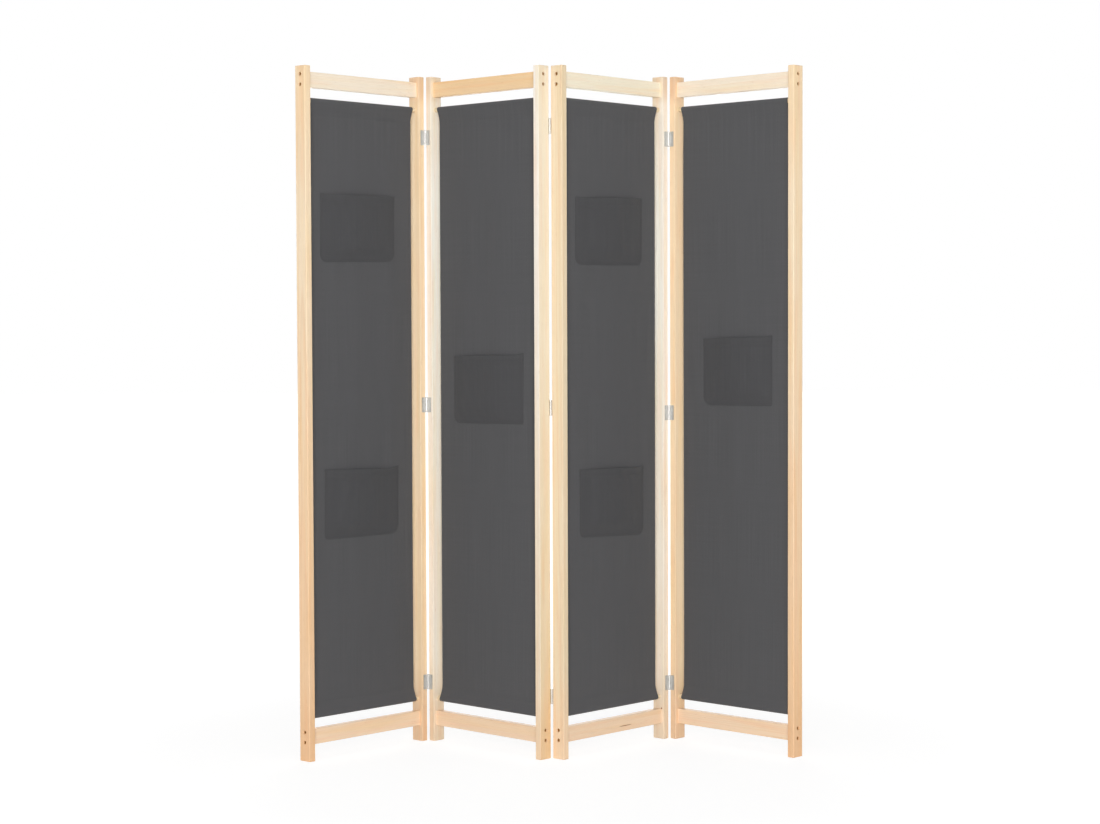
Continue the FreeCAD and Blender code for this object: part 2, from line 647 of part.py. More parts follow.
for number in PANELS:
    name = "panel_%d_" % number

    # A left stile's own Y runs from front to back, a right stile is the same piece turned half round.
    left_seam, left_face = hinged_sides.get((number, "left"), (None, None))
    right_seam, right_face = hinged_sides.get((number, "right"), (None, None))
    left_face = {"front": "near_origin", "back": "far"}.get(left_face)
    right_face = {"front": "far", "back": "near_origin"}.get(right_face)
    place(make_stile(name + "left_stile", left_seam, left_face), number, at("0", "0", "0"))
    place(make_stile(name + "right_stile", right_seam, right_face), number,
          at("dims.panel_width", "dims.stile_depth", "0", Rotation(about_z, 180)))

    rail_front = "(%s - dims.rail_thick / 2)" % mid_depth
    for rail, level in zip(("top_rail", "bottom_rail"), rail_levels):
        place(make_rail(name + rail), number, at("dims.stile_width", rail_front, level))
    rod_start = "(dims.stile_width - dims.rod_socket + dims.rod_end_play)"
    for rod, level in (("top_rod", top_rod_level), ("bottom_rod", bottom_rod_level)):
        place(make_rod(name + rod), number, at(rod_start, mid_depth, level, Rotation(about_y, 90)))

    casing_front = "(%s - %s)" % (mid_depth, casing_radius)
    place(make_cloth(name + "cloth"), number, at("dims.stile_width", casing_front, "0"))
    cloth_front = "(%s - dims.cloth_thick / 2)" % mid_depth
    for which in POCKETS[number]:
        key = "_".join(filter(None, ("pocket_%d" % number, which)))
        width, shift, drop = ("dims.%s_%s" % (key, item) for item in ("width", "shift", "drop"))
        pocket = make_pocket("_".join(filter(None, ("panel_%d" % number, which, "pocket"))), width)
        right_side = "(dims.panel_width / 2 + %s + %s / 2)" % (shift, width)
        foot = "(%s - %s - dims.pocket_height)" % (cloth_top, drop)
        place(pocket, number, at(right_side, cloth_front, foot, Rotation(about_z, 180)))

    left_seat = "(dims.counterbore_depth + dims.frame_screw_length)"
    right_seat = "(dims.panel_width - %s)" % left_seat
    frame_screws = []
    for level in rail_screw_levels:
        frame_screws.append(at(left_seat, mid_depth, level, Rotation(about_y, -90)))
        frame_screws.append(at(right_seat, mid_depth, level, Rotation(about_y, 90)))
    place(group(name + "frame_screws", frame_screw, frame_screws), number, Placement())

    hinge_screws = []
    tip_depth = "(dims.hinge_screw_length - dims.leaf_thick)"
    for side in ("left", "right"):
        if (number, side) not in hinged_sides:
            continue
        seam, face = hinged_sides[number, side]
        across = leaf_screw_inset if side == "left" else "(dims.panel_width - %s)" % leaf_screw_inset
        tip = tip_depth if face == "front" else "(dims.stile_depth - %s)" % tip_depth
        driven = Rotation(about_x, 90 if face == "front" else -90)
        hinge_screws += [at(across, tip, level, driven) for level in hinge_screw_levels(seam)]
    place(group(name + "hinge_screws", hinge_screw, hinge_screws), number, Placement())

for seam, left_panel, face, pin_panel in SEAMS:
    wood_face = "0" if face == "front" else "dims.stile_depth"
    for panel, side in ((left_panel, "right"), (left_panel + 1, "left")):
        turns = {
            ("left", "front"): Rotation(about_x, 180),
            ("left", "back"): Rotation(),
            ("right", "front"): Rotation(about_z, 180),
            ("right", "back"): Rotation(about_y, 180),
        }
        turn = turns[side, face]
        upside_down = turn.multVec(about_z).z < 0
        pin_axis = "-dims.stile_gap / 2" if side == "left" else "(dims.panel_width + dims.stile_gap / 2)"
        foot = "(%%s %s dims.hinge_height / 2)" % ("+" if upside_down else "-")
        leaves = [at(pin_axis, wood_face, foot % hinge, turn) for hinge in hinge_levels(seam)]
        source = pin_leaf if panel == pin_panel else free_leaf
        place(group("%s_leaves_panel_%d" % (seam, panel), source, leaves), panel, Placement())
        if panel == pin_panel:
            pin_depth = "(%s %s %s)" % (wood_face, "-" if face == "front" else "+", pin_rise)
            pin_foot = "dims.hinge_height / 2 - dims.knuckle_play / 2 + dims.pin_head_height"
            pins = [at(pin_axis, pin_depth, "(%s - (%s))" % (hinge, pin_foot))
                    for hinge in hinge_levels(seam)]
            place(group("%s_pins" % seam, hinge_pin, pins), panel, Placement())

doc.recompute()
failed = [item.Label for item in doc.Objects if {"Invalid", "Error"} & set(item.State)]
failed += [piece.Label for piece in nodes if piece.Shape.isNull() or not piece.Shape.isValid()]
if failed:
    raise RuntimeError("failed: " + ", ".join(failed))

os.makedirs("parts", exist_ok=True)
for piece in nodes:
    piece.Shape.exportStep("parts/%s.step" % piece.Label)
    print("%-28s %d solids, %.1f cm3" % (piece.Label, len(piece.Shape.Solids), piece.Shape.Volume / 1000))
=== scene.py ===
import json
import math

import bmesh
import bpy
import numpy as np
from mathutils import Matrix, Vector
from mathutils.geometry import tessellate_polygon


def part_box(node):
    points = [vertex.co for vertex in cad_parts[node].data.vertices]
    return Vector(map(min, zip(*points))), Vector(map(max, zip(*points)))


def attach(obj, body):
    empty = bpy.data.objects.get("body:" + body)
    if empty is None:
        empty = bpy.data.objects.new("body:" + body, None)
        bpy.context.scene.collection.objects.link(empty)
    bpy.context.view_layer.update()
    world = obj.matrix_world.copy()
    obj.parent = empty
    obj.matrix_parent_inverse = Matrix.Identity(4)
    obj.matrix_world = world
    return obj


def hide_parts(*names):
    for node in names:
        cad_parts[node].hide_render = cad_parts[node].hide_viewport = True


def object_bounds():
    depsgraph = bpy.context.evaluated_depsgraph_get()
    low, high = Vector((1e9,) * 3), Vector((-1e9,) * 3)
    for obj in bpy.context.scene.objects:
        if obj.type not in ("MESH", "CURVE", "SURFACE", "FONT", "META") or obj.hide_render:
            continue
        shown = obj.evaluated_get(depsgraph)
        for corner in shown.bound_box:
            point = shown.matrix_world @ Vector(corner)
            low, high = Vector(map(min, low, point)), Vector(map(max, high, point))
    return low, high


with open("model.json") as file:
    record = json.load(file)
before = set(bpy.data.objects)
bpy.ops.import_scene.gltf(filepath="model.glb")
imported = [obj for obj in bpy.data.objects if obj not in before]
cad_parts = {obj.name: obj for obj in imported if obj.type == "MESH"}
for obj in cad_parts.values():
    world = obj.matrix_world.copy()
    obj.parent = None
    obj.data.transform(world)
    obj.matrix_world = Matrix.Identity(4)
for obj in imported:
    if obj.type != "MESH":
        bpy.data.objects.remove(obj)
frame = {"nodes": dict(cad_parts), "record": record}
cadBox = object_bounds()
nodes = frame["nodes"]
feet = {mount["name"]: Vector(mount["pos_m"]) for mount in frame["record"]["mounts"]}
mm = 0.001
fullTurn = 2 * math.pi
panelNumbers = (1, 2, 3, 4)
print("frame:", len(nodes), "nodes")


def linear(hexColour):  # sRGB hex to the linear values that a shader takes
    channels = [int(hexColour[i:i + 2], 16) / 255 for i in (1, 3, 5)]
    return [c / 12.92 if c <= 0.04045 else ((c + 0.055) / 1.055) ** 2.4 for c in channels] + [1.0]


def setInputs(item, inputs):  # a node given as an input stands for its first output
    for key, given in inputs.items():
        if isinstance(given, bpy.types.Node):
            given = given.outputs[0]
        if isinstance(given, bpy.types.NodeSocket):
            item.id_data.links.new(given, item.inputs[key])
        else:
            item.inputs[key].default_value = given


def addNode(tree, kind, inputs=None, **settings):
    item = tree.nodes.new(kind)
    for key, setting in settings.items():
        setattr(item, key, setting)
    setInputs(item, inputs or {})
    return item


def newMaterial(name):
    material = bpy.data.materials.new(name)
    material.use_nodes = True
    tree = material.node_tree
    tree.nodes.clear()
    shader = addNode(tree, "ShaderNodeBsdfPrincipled")
    addNode(tree, "ShaderNodeOutputMaterial", {"Surface": shader})
    return material, tree, shader


def setRamp(ramp, stops):
    elements = ramp.color_ramp.elements
    while len(elements) < len(stops):
        elements.new(0.5)
    for element, (position, colour) in zip(elements, stops):
        element.position = position
        element.color = colour


def grey(level):
    return (level, level, level, 1)


def perLength(width, length):  # pattern scale for marks this wide and this long
    return (1 / width, 1 / width, 1 / length)


def panelMatrix(number):  # panel's own frame: x along it from its middle, y towards its back, z up
    left, right = (feet["foot_panel_%d_%s" % (number, side)] for side in ("left", "right"))
    along = (right - left).normalized()
    back = Vector((-along.y, along.x, 0))
    matrix = Matrix((along, back, Vector((0, 0, 1)))).transposed().to_4x4()
    matrix.translation = (left + right) / 2
    return matrix


panels = {number: panelMatrix(number) for number in panelNumbers}


# Pine: planed, sanded strips under a thin matt clear coat. The eye sees cream wood, narrow
# amber rings that run out along the faces, short pores and a warmer cast here and there.
pine = {
    "timber": "pine",
    "ringWidth": 3.4 * mm,     # growth in a year, and how dense the wood is from its start to its end
    "ringProfile": ((0.0, 0.06), (0.45, 0.12), (0.86, 1.0), (0.97, 0.35), (1.0, 0.06)),
    "ringRichness": (0.25, 1.0),
    "pithReach": (45 * mm, 95 * mm),   # the log's middle lies outside the strip
    "pithSlope": 0.006,
    "stileMiddle": 190 * mm,
    "noiseSpread": 9,          # each strip looks at a part of the noise of its own
    "wander": 2.6 * mm,        # how far the grain strays
    "strayWidth": 55 * mm,
    "strayLength": 420 * mm,
    "fibre": 0.55 * mm,
    "fibreLength": 38 * mm,
    "poreWidth": 1.3 * mm,
    "poreLength": 15 * mm,
    "lateWood": "#d99f61",     # dense edge of each ring
    "lateShare": 0.24,
    "pore": "#b47c46",
    "poreShare": 0.35,
    "knot": "#8a5228",
    "amber": (0.99, 0.945, 0.84, 1),   # yellower and pinker patches, as shares of the strip's own tone
    "blush": (1.0, 0.92, 0.87, 1),
    "patchWidth": 14 * mm,
    "patchLengths": {"amber": 330 * mm, "blush": 210 * mm},
    "sawnShare": 0.45,         # how much of the dense tone sawn ends take
    "roughness": (0.56, 0.70),
    "ior": 1.5,
    "specular": 0.35,
    "relief": 0.12 * mm,
}
# Tone of each strip at its head, just below it, high up, low down and at its foot. A rail has one tone.
# Besides the wood's own colour the tones hold painted light: paler high up, where the light is brighter,
# darker and warmer low down and at the feet, where shade falls, and some strips paler or darker than others
# to offset how much light reaches them.
toneHeights = (1665 * mm, 1620 * mm, 1350 * mm, 220 * mm, 50 * mm)
woodTones = {
    "linen": "#fcf6ec",
    "ivory": "#fbf4e8",
    "eggshell": "#f5eee1",
    "chalk": "#faefdf",
    "vanilla": "#faf1da",
    "milk": "#f6e9d5",
    "cream": "#f4e4cc",
    "sand": "#ecdabb",
    "wheat": "#f4e0c2",
    "straw": "#f4dcb9",
    "corn": "#f4d4a9",
    "honey": "#f0cca5",
    "peach": "#f5d9bb",
    "toast": "#ecc399",
    "biscuit": "#f4d8b7",
    "oat": "#e7d6bf",
    "clay": "#e5c7a6",
}
# Painted light: besides the wood's own colour, each strip's tones are paler up high and darker and warmer at
# the foot, after how the light falls.
pineTonesAndLight = {
    "panel_1_left_stile": ("straw", "straw", "wheat", "honey", "toast"),
    "panel_1_right_stile": ("clay", "straw", "straw", "straw", "clay"),
    "panel_2_left_stile": ("oat", "eggshell", "linen", "chalk", "oat"),
    "panel_2_right_stile": ("ivory", "ivory", "ivory", "cream", "biscuit"),
    "panel_3_left_stile": ("sand", "sand", "sand", "sand", "biscuit"),
    "panel_3_right_stile": ("oat", "eggshell", "linen", "chalk", "oat"),
    "panel_4_left_stile": ("clay", "straw", "straw", "straw", "clay"),
    "panel_4_right_stile": ("straw", "straw", "wheat", "honey", "toast"),
    "panel_1_top_rail": ("milk",),
    "panel_2_top_rail": ("corn",),
    "panel_3_top_rail": ("vanilla",),
    "panel_4_top_rail": ("milk",),
}
for number in panelNumbers:
    pineTonesAndLight["panel_%d_bottom_rail" % number] = ("peach",)
# Painted light: the stiles' deep sides take this share of the rest's tone, so that they look lighter or
# darker after how the light falls on them.
pineSideLight = {
    "panel_1_left_stile": (1.08, 1.07, 1.07, 1),
    "panel_1_right_stile": (1.08, 1.07, 1.07, 1),
    "panel_2_left_stile": (1.06, 1.06, 1.04, 1),
    "panel_2_right_stile": (0.87, 0.84, 0.75, 1),
    "panel_3_left_stile": (0.97, 0.98, 1.00, 1),
    "panel_3_right_stile": (1.06, 1.05, 1.03, 1),
    "panel_4_left_stile": (1.10, 1.09, 1.08, 1),
    "panel_4_right_stile": (1.09, 1.09, 1.09, 1),
}
# Pin knots and one resin streak: place in the strip's own frame (across, through, along), radius,
# and how many times longer than wide. Rings part round a knot over some of its radii.
knotForm = {"core": 0.7, "edge": 1.1, "swirlStart": 0.8, "swirlEnd": 6, "swirlRings": 1.6}
pineKnots = {
    "panel_3_right_stile": ((182 * mm, -10 * mm, 79 * mm), 1.9 * mm, 1.3),
    "panel_3_bottom_rail": ((-53 * mm, -9 * mm, 41 * mm), 1.0 * mm, 25),
    "panel_1_left_stile": ((-191 * mm, 18 * mm, 1010 * mm), 2.2 * mm, 1.6),
    "panel_4_right_stile": ((190 * mm, 18 * mm, 610 * mm), 2.8 * mm, 1.5),
    "panel_2_bottom_rail": ((-60 * mm, 9 * mm, 60 * mm), 3.4 * mm, 1.5),
}


def pineMaterial(name, number, alongRail, tones, seed, settings):
    material, tree, shader = newMaterial(settings["timber"] + "_" + name)
    dice = np.random.default_rng(seed)
    spread = settings["noiseSpread"]
    turn = panels[number].inverted().to_3x3()
    if alongRail:  # grain runs along x there, so x becomes the third axis
        turn = Matrix(((0, 0, -1), (0, 1, 0), (1, 0, 0))) @ turn
    shift = turn @ -panels[number].translation
    place = addNode(tree, "ShaderNodeTexCoord")
    strip = addNode(tree, "ShaderNodeMapping", {
        "Vector": place.outputs["Object"], "Location": shift, "Rotation": turn.to_euler()})
    own = strip.outputs[0]

    drift = addNode(tree, "ShaderNodeMapping", {
        "Vector": own, "Location": dice.uniform(-spread, spread, 3),
        "Scale": perLength(settings["strayWidth"], settings["strayLength"])})
    stray = addNode(tree, "ShaderNodeTexNoise", {"Vector": drift, "Scale": 1.0, "Detail": 2.0})
    centred = addNode(tree, "ShaderNodeVectorMath", {0: stray.outputs["Color"], 1: (0.5, 0.5, 0.5)},
                      operation="SUBTRACT")
    moved = addNode(tree, "ShaderNodeVectorMath", {0: centred, "Scale": 2 * settings["wander"]},
                    operation="SCALE")
    bent = addNode(tree, "ShaderNodeVectorMath", {0: own, 1: moved}, operation="ADD")

    # Rings lie round a pith outside the strip, a little aslant to it.
    bearing = dice.uniform(0, fullTurn)
    reach = dice.uniform(*settings["pithReach"])
    middle = 0
    if name.endswith("stile"):
        middle = settings["stileMiddle"] * (1 if "right" in name else -1)
    pith = (reach * math.cos(bearing) - middle, reach * math.sin(bearing), 0)
    fromPith = addNode(tree, "ShaderNodeVectorMath", {0: bent, 1: pith}, operation="ADD")
    slopes = dice.uniform(-settings["pithSlope"], settings["pithSlope"], 2)
    apart = addNode(tree, "ShaderNodeSeparateXYZ", {0: fromPith})
    flat = addNode(tree, "ShaderNodeCombineXYZ")
    for axis, slope in enumerate(slopes):
        aslant = addNode(tree, "ShaderNodeMath", {0: apart.outputs[2], 1: slope, 2: apart.outputs[axis]},
                         operation="MULTIPLY_ADD")
        setInputs(flat, {axis: aslant})
    radius = addNode(tree, "ShaderNodeVectorMath", {0: flat}, operation="LENGTH")
    rings = addNode(tree, "ShaderNodeMath", {0: radius.outputs["Value"], 1: settings["ringWidth"]},
                    operation="DIVIDE")

    knotMask = None
    if name in pineKnots:
        centre, size, stretch = pineKnots[name]
        away = addNode(tree, "ShaderNodeVectorMath", {0: own, 1: centre}, operation="SUBTRACT")
        oval = addNode(tree, "ShaderNodeVectorMath", {0: away, 1: (1, 1, 1 / stretch)}, operation="MULTIPLY")
        gap = addNode(tree, "ShaderNodeVectorMath", {0: oval}, operation="LENGTH")
        knotMask = addNode(tree, "ShaderNodeMapRange", {
            "Value": gap.outputs["Value"], "To Min": 1.0, "To Max": 0.0,
            "From Min": knotForm["core"] * size, "From Max": knotForm["edge"] * size},
            interpolation_type="SMOOTHSTEP")
        swirl = addNode(tree, "ShaderNodeMapRange", {
            "Value": gap.outputs["Value"], "To Min": knotForm["swirlRings"], "To Max": 0.0,
            "From Min": knotForm["swirlStart"] * size, "From Max": knotForm["swirlEnd"] * size},
            interpolation_type="SMOOTHERSTEP")
        rings = addNode(tree, "ShaderNodeMath", {0: rings, 1: swirl}, operation="ADD")

    phase = addNode(tree, "ShaderNodeMath", {0: rings}, operation="FRACT")
    lateWood = addNode(tree, "ShaderNodeValToRGB", {"Fac": phase})
    setRamp(lateWood, [(part, grey(density)) for part, density in settings["ringProfile"]])
    ringIndex = addNode(tree, "ShaderNodeMath", {0: rings}, operation="FLOOR")
    yearly = addNode(tree, "ShaderNodeTexWhiteNoise", {"W": ringIndex}, noise_dimensions="1D")
    poorest, richest = settings["ringRichness"]
    richness = addNode(tree, "ShaderNodeMapRange", {
        "Value": yearly.outputs["Value"], "To Min": poorest, "To Max": richest})
    late = addNode(tree, "ShaderNodeMath", {0: lateWood, 1: richness}, operation="MULTIPLY")

    # Painted light: the tone drifts from paler at the top, where the light is brighter, to darker and warmer
    # towards the floor, with warmer casts of the wood in long patches.
    axes = addNode(tree, "ShaderNodeSeparateXYZ", {0: own})
    climb = addNode(tree, "ShaderNodeMapRange", {"Value": axes.outputs[2], "From Max": cadBox[1][2]})
    ramp = addNode(tree, "ShaderNodeValToRGB", {"Fac": climb})
    ramp.color_ramp.interpolation = "EASE"
    setRamp(ramp, sorted((z / cadBox[1][2], linear(tone)) for z, tone in zip(toneHeights, tones)))
    ground = ramp.outputs["Color"]
    facing = addNode(tree, "ShaderNodeMapping", {
        "Vector": place.outputs["Normal"], "Rotation": turn.to_euler()}, vector_type="VECTOR")
    facingAxes = addNode(tree, "ShaderNodeSeparateXYZ", {0: facing})
    # Painted light: the deep sides are made lighter or darker than the fronts, after how the light falls on
    # them.
    if name in pineSideLight:
        aside = addNode(tree, "ShaderNodeMath", {0: facingAxes}, operation="ABSOLUTE")
        sideLightShare = addNode(tree, "ShaderNodeMapRange", {"Value": aside, "From Min": 0.3, "From Max": 0.8})
        sideLit = addNode(tree, "ShaderNodeMix", {0: sideLightShare, 6: ground, 7: pineSideLight[name]},
                        data_type="RGBA", blend_type="MULTIPLY", clamp_result=True)
        ground = sideLit.outputs[2]
    for patch, span in settings["patchLengths"].items():
        patchPlace = addNode(tree, "ShaderNodeMapping", {
            "Vector": own, "Location": dice.uniform(-spread, spread, 3),
            "Scale": perLength(settings["patchWidth"], span)})
        cloud = addNode(tree, "ShaderNodeTexNoise", {"Vector": patchPlace, "Scale": 1.0, "Detail": 3.0})
        patchShare = addNode(tree, "ShaderNodeMapRange", {"Value": cloud, "From Min": 0.46, "From Max": 0.72})
        patched = addNode(tree, "ShaderNodeMix", {0: patchShare, 6: ground, 7: settings[patch]},
                          data_type="RGBA", blend_type="MULTIPLY")
        ground = patched.outputs[2]
    lateShare = addNode(tree, "ShaderNodeMath", {0: late, 1: settings["lateShare"]}, operation="MULTIPLY")
    ringed = addNode(tree, "ShaderNodeMix", {
        0: lateShare, 6: ground, 7: linear(settings["lateWood"])}, data_type="RGBA")

    fibrePlace = addNode(tree, "ShaderNodeMapping", {
        "Vector": bent, "Scale": perLength(settings["fibre"], settings["fibreLength"])})
    fibre = addNode(tree, "ShaderNodeTexNoise", {"Vector": fibrePlace, "Scale": 1.0, "Detail": 3.0})
    fibreLight = addNode(tree, "ShaderNodeMapRange", {
        "Value": fibre, "From Min": 0.25, "From Max": 0.75, "To Min": 0.93, "To Max": 1.05})
    fibred = addNode(tree, "ShaderNodeMix", {0: 1.0, 6: ringed.outputs[2], 7: fibreLight},
                     data_type="RGBA", blend_type="MULTIPLY")
    porePlace = addNode(tree, "ShaderNodeMapping", {
        "Vector": bent, "Scale": perLength(settings["poreWidth"], settings["poreLength"])})
    pore = addNode(tree, "ShaderNodeTexNoise", {"Vector": porePlace, "Scale": 1.0, "Detail": 1.0})
    poreShare = addNode(tree, "ShaderNodeMapRange", {
        "Value": pore, "From Min": 0.70, "From Max": 0.80, "To Max": settings["poreShare"]})
    pored = addNode(tree, "ShaderNodeMix", {
        0: poreShare, 6: fibred.outputs[2], 7: linear(settings["pore"])}, data_type="RGBA")
    colour = pored.outputs[2]
    if knotMask:
        knotted = addNode(tree, "ShaderNodeMix", {
            0: knotMask, 6: colour, 7: linear(settings["knot"])}, data_type="RGBA")
        colour = knotted.outputs[2]

    # Sawn ends drink more of the coat, so they are darker.
    steep = addNode(tree, "ShaderNodeMath", {0: facingAxes.outputs[2]}, operation="ABSOLUTE")
    sawn = addNode(tree, "ShaderNodeMapRange", {
        "Value": steep, "From Min": 0.6, "From Max": 0.95, "To Max": settings["sawnShare"]})
    ended = addNode(tree, "ShaderNodeMix", {0: sawn, 6: colour, 7: linear(settings["lateWood"])},
                    data_type="RGBA")

    low, high = settings["roughness"]
    gloss = addNode(tree, "ShaderNodeMapRange", {
        "Value": fibre, "From Min": 0.3, "From Max": 0.7, "To Min": low, "To Max": high})
    grain = addNode(tree, "ShaderNodeMath", {0: late, 1: 0.5, 2: fibre}, operation="MULTIPLY_ADD")
    relief = addNode(tree, "ShaderNodeBump", {
        "Height": grain, "Strength": 0.5, "Distance": settings["relief"]})
    setInputs(shader, {
        "Base Color": ended.outputs[2], "Roughness": gloss, "Normal": relief,
        "IOR": settings["ior"], "Specular IOR Level": settings["specular"]})
    return material


# Dowel: turned straight-grained softwood, bare. Close pale lines along it and a dry surface.
dowel = dict(pine, timber="softwood", ringWidth=1.5 * mm, wander=0.6 * mm, roughness=(0.58, 0.72),
             lateShare=0.22)
dowelTone = "#dfcfb0"

for seed, (name, tones) in enumerate(pineTonesAndLight.items(), 11):
    number = int(name.split("_")[1])
    tones = [woodTones[tone] for tone in tones]
    nodes[name].data.materials[0] = pineMaterial(name, number, "rail" in name, tones, seed, pine)
for number in panelNumbers:
    for seed, end in enumerate(("top", "bottom"), 60 + 2 * number):
        name = "panel_%d_%s_rod" % (number, end)
        nodes[name].data.materials[0] = pineMaterial(name, number, True, [dowelTone], seed, dowel)
print("wood:", len(pineTonesAndLight), "strips and", 2 * len(panelNumbers), "dowels")


# Zinc plated steel: pressed sheet, barrel plated and passivated. Pale grey with a dull shine
# and a cloudy bloom a few millimetres across.
zinc = {
    "colour": "#cac9c6",
    "bloom": "#bab9b6",
    "cloud": 6 * mm,
    "scuff": 0.4 * mm,
    "relief": 0.05 * mm,
    "roughness": (0.44, 0.53),
}


def zincMaterial(name, settings):
    material, tree, shader = newMaterial(name)
    place = addNode(tree, "ShaderNodeTexCoord")
    cloud = addNode(tree, "ShaderNodeTexNoise", {
        "Vector": place.outputs["Object"], "Scale": 1 / settings["cloud"], "Detail": 4.0})
    scuff = addNode(tree, "ShaderNodeTexNoise", {
        "Vector": place.outputs["Object"], "Scale": 1 / settings["scuff"], "Detail": 2.0})
    tint = addNode(tree, "ShaderNodeMix", {
        0: cloud, 6: linear(settings["colour"]), 7: linear(settings["bloom"])}, data_type="RGBA")
    low, high = settings["roughness"]
    shine = addNode(tree, "ShaderNodeMapRange", {
        "Value": cloud, "From Min": 0.3, "From Max": 0.7, "To Min": low, "To Max": high})
    relief = addNode(tree, "ShaderNodeBump", {
        "Height": scuff, "Strength": 0.15, "Distance": settings["relief"]})
    setInputs(shader, {"Base Color": tint.outputs[2], "Roughness": shine, "Normal": relief, "Metallic": 1.0})
    return material


# Yellow passivated steel: cold headed frame screws, plated and dipped. Brassy brown with a dull shine.
passivated = dict(zinc, colour="#b8925c", bloom="#94703f", cloud=1.5 * mm, scuff=0.3 * mm,
                  roughness=(0.40, 0.58))

zincSteel = zincMaterial("zinc_plated_steel", zinc)
yellowSteel = zincMaterial("yellow_passivated_steel", passivated)
for name, node in nodes.items():
    if "leaves" in name or name.endswith("pins"):
        node.data.materials[0] = zincSteel
print("metal: hinges and pins")


# Polyester canvas: plain woven from spun yarn, piece dyed grey. Matt, with thick and thin
# yarns that show as faint upright streaks, a soft bloom at a grazing angle and no shine.
canvas = {
    "colour": "#59595b",
    "dark": "#48484a",
    "yarn": 1.1 * mm,          # real yarns lie 0.5 mm apart, drawn wider so that a near view shows them
    "slubWidth": 2.2 * mm,
    "slubLength": 260 * mm,
    "streak": 0.08,
    "relief": 0.22 * mm,
    "roughness": 0.88,
    "specular": 0.25,
    "sheen": 0.12,
    "sheenRoughness": 0.5,
}
pocketCanvas = dict(canvas, colour="#4e4e50", dark="#3e3e40")


def canvasMaterial(name, settings):
    material, tree, shader = newMaterial(name)
    yarn = settings["yarn"]
    cut = addNode(tree, "ShaderNodeUVMap", uv_map="cut")  # metres on the flat cut
    axes = addNode(tree, "ShaderNodeSeparateXYZ", {0: cut})
    ridges = []
    for axis in (0, 1):
        across = addNode(tree, "ShaderNodeMath", {0: axes.outputs[axis], 1: math.pi / yarn},
                         operation="MULTIPLY")
        wave = addNode(tree, "ShaderNodeMath", {0: across}, operation="SINE")
        ridges.append(addNode(tree, "ShaderNodeMath", {0: wave}, operation="ABSOLUTE"))
    over = addNode(tree, "ShaderNodeTexChecker", {
        "Vector": cut, "Color1": grey(0), "Color2": grey(1), "Scale": 1 / yarn})
    weave = addNode(tree, "ShaderNodeMix", {0: over.outputs["Fac"], 2: ridges[0], 3: ridges[1]})

    wide, long, streak = 1 / settings["slubWidth"], 1 / settings["slubLength"], settings["streak"]
    slubs = []
    for scale, depth in (((wide, long, 1), streak), ((long, wide, 1), streak / 2)):  # warp, then weft
        stretch = addNode(tree, "ShaderNodeMapping", {"Vector": cut, "Scale": scale})
        slub = addNode(tree, "ShaderNodeTexNoise", {"Vector": stretch, "Scale": 1.0, "Detail": 3.0})
        slubs.append(addNode(tree, "ShaderNodeMapRange", {
            "Value": slub, "From Min": 0.3, "From Max": 0.7, "To Min": 1 - depth, "To Max": 1 + depth / 2}))
    yarnLight = addNode(tree, "ShaderNodeMath", {0: slubs[0], 1: slubs[1]}, operation="MULTIPLY")
    dye = addNode(tree, "ShaderNodeMix", {
        0: weave, 6: linear(settings["dark"]), 7: linear(settings["colour"])}, data_type="RGBA")
    shaded = addNode(tree, "ShaderNodeMix", {0: 1.0, 6: dye.outputs[2], 7: yarnLight},
                     data_type="RGBA", blend_type="MULTIPLY")
    relief = addNode(tree, "ShaderNodeBump", {
        "Height": weave, "Strength": 0.5, "Distance": settings["relief"]})
    setInputs(shader, {
        "Base Color": shaded.outputs[2], "Normal": relief, "Roughness": settings["roughness"],
        "Specular IOR Level": settings["specular"], "Sheen Weight": settings["sheen"],
        "Sheen Roughness": settings["sheenRoughness"]})
    return material


# Sewing thread: twisted polyester, a shade darker than the cloth, with a slight gleam.
thread = {"colour": "#3d3d3d", "twist": 0.8 * mm, "roughness": 0.55}


def threadMaterial(name, settings):
    material, tree, shader = newMaterial(name)
    place = addNode(tree, "ShaderNodeTexCoord")
    ply = addNode(tree, "ShaderNodeTexNoise", {
        "Vector": place.outputs["Object"], "Scale": 1 / settings["twist"], "Detail": 1.0})
    light = addNode(tree, "ShaderNodeMapRange", {"Value": ply, "To Min": 0.75, "To Max": 1.25})
    tint = addNode(tree, "ShaderNodeMix", {0: 1.0, 6: linear(settings["colour"]), 7: light},
                   data_type="RGBA", blend_type="MULTIPLY")
    setInputs(shader, {"Base Color": tint.outputs[2], "Roughness": settings["roughness"]})
    return material


clothMaterial = canvasMaterial("polyester_canvas", canvas)
pocketMaterial = canvasMaterial("polyester_canvas_pocket", pocketCanvas)
seamThread = threadMaterial("polyester_thread", thread)


def makePiece(name, points, faces, material, number, uv=None):  # points in the panel's own frame
    mesh = bpy.data.meshes.new(name)
    mesh.from_pydata([panels[number] @ Vector(p) for p in points], [], faces)
    mesh.materials.append(material)
    mesh.polygons.foreach_set("use_smooth", [True] * len(mesh.polygons))
    if uv is not None:
        layer = mesh.uv_layers.new(name="cut")
        corners = np.empty(len(mesh.loops), int)
        mesh.loops.foreach_get("vertex_index", corners)
        layer.data.foreach_set("uv", uv[corners].astype(np.float32).ravel())
    mesh.update()
    piece = bpy.data.objects.new(name, mesh)
    bpy.context.scene.collection.objects.link(piece)
    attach(piece, "panel_%d" % number)
    return piece


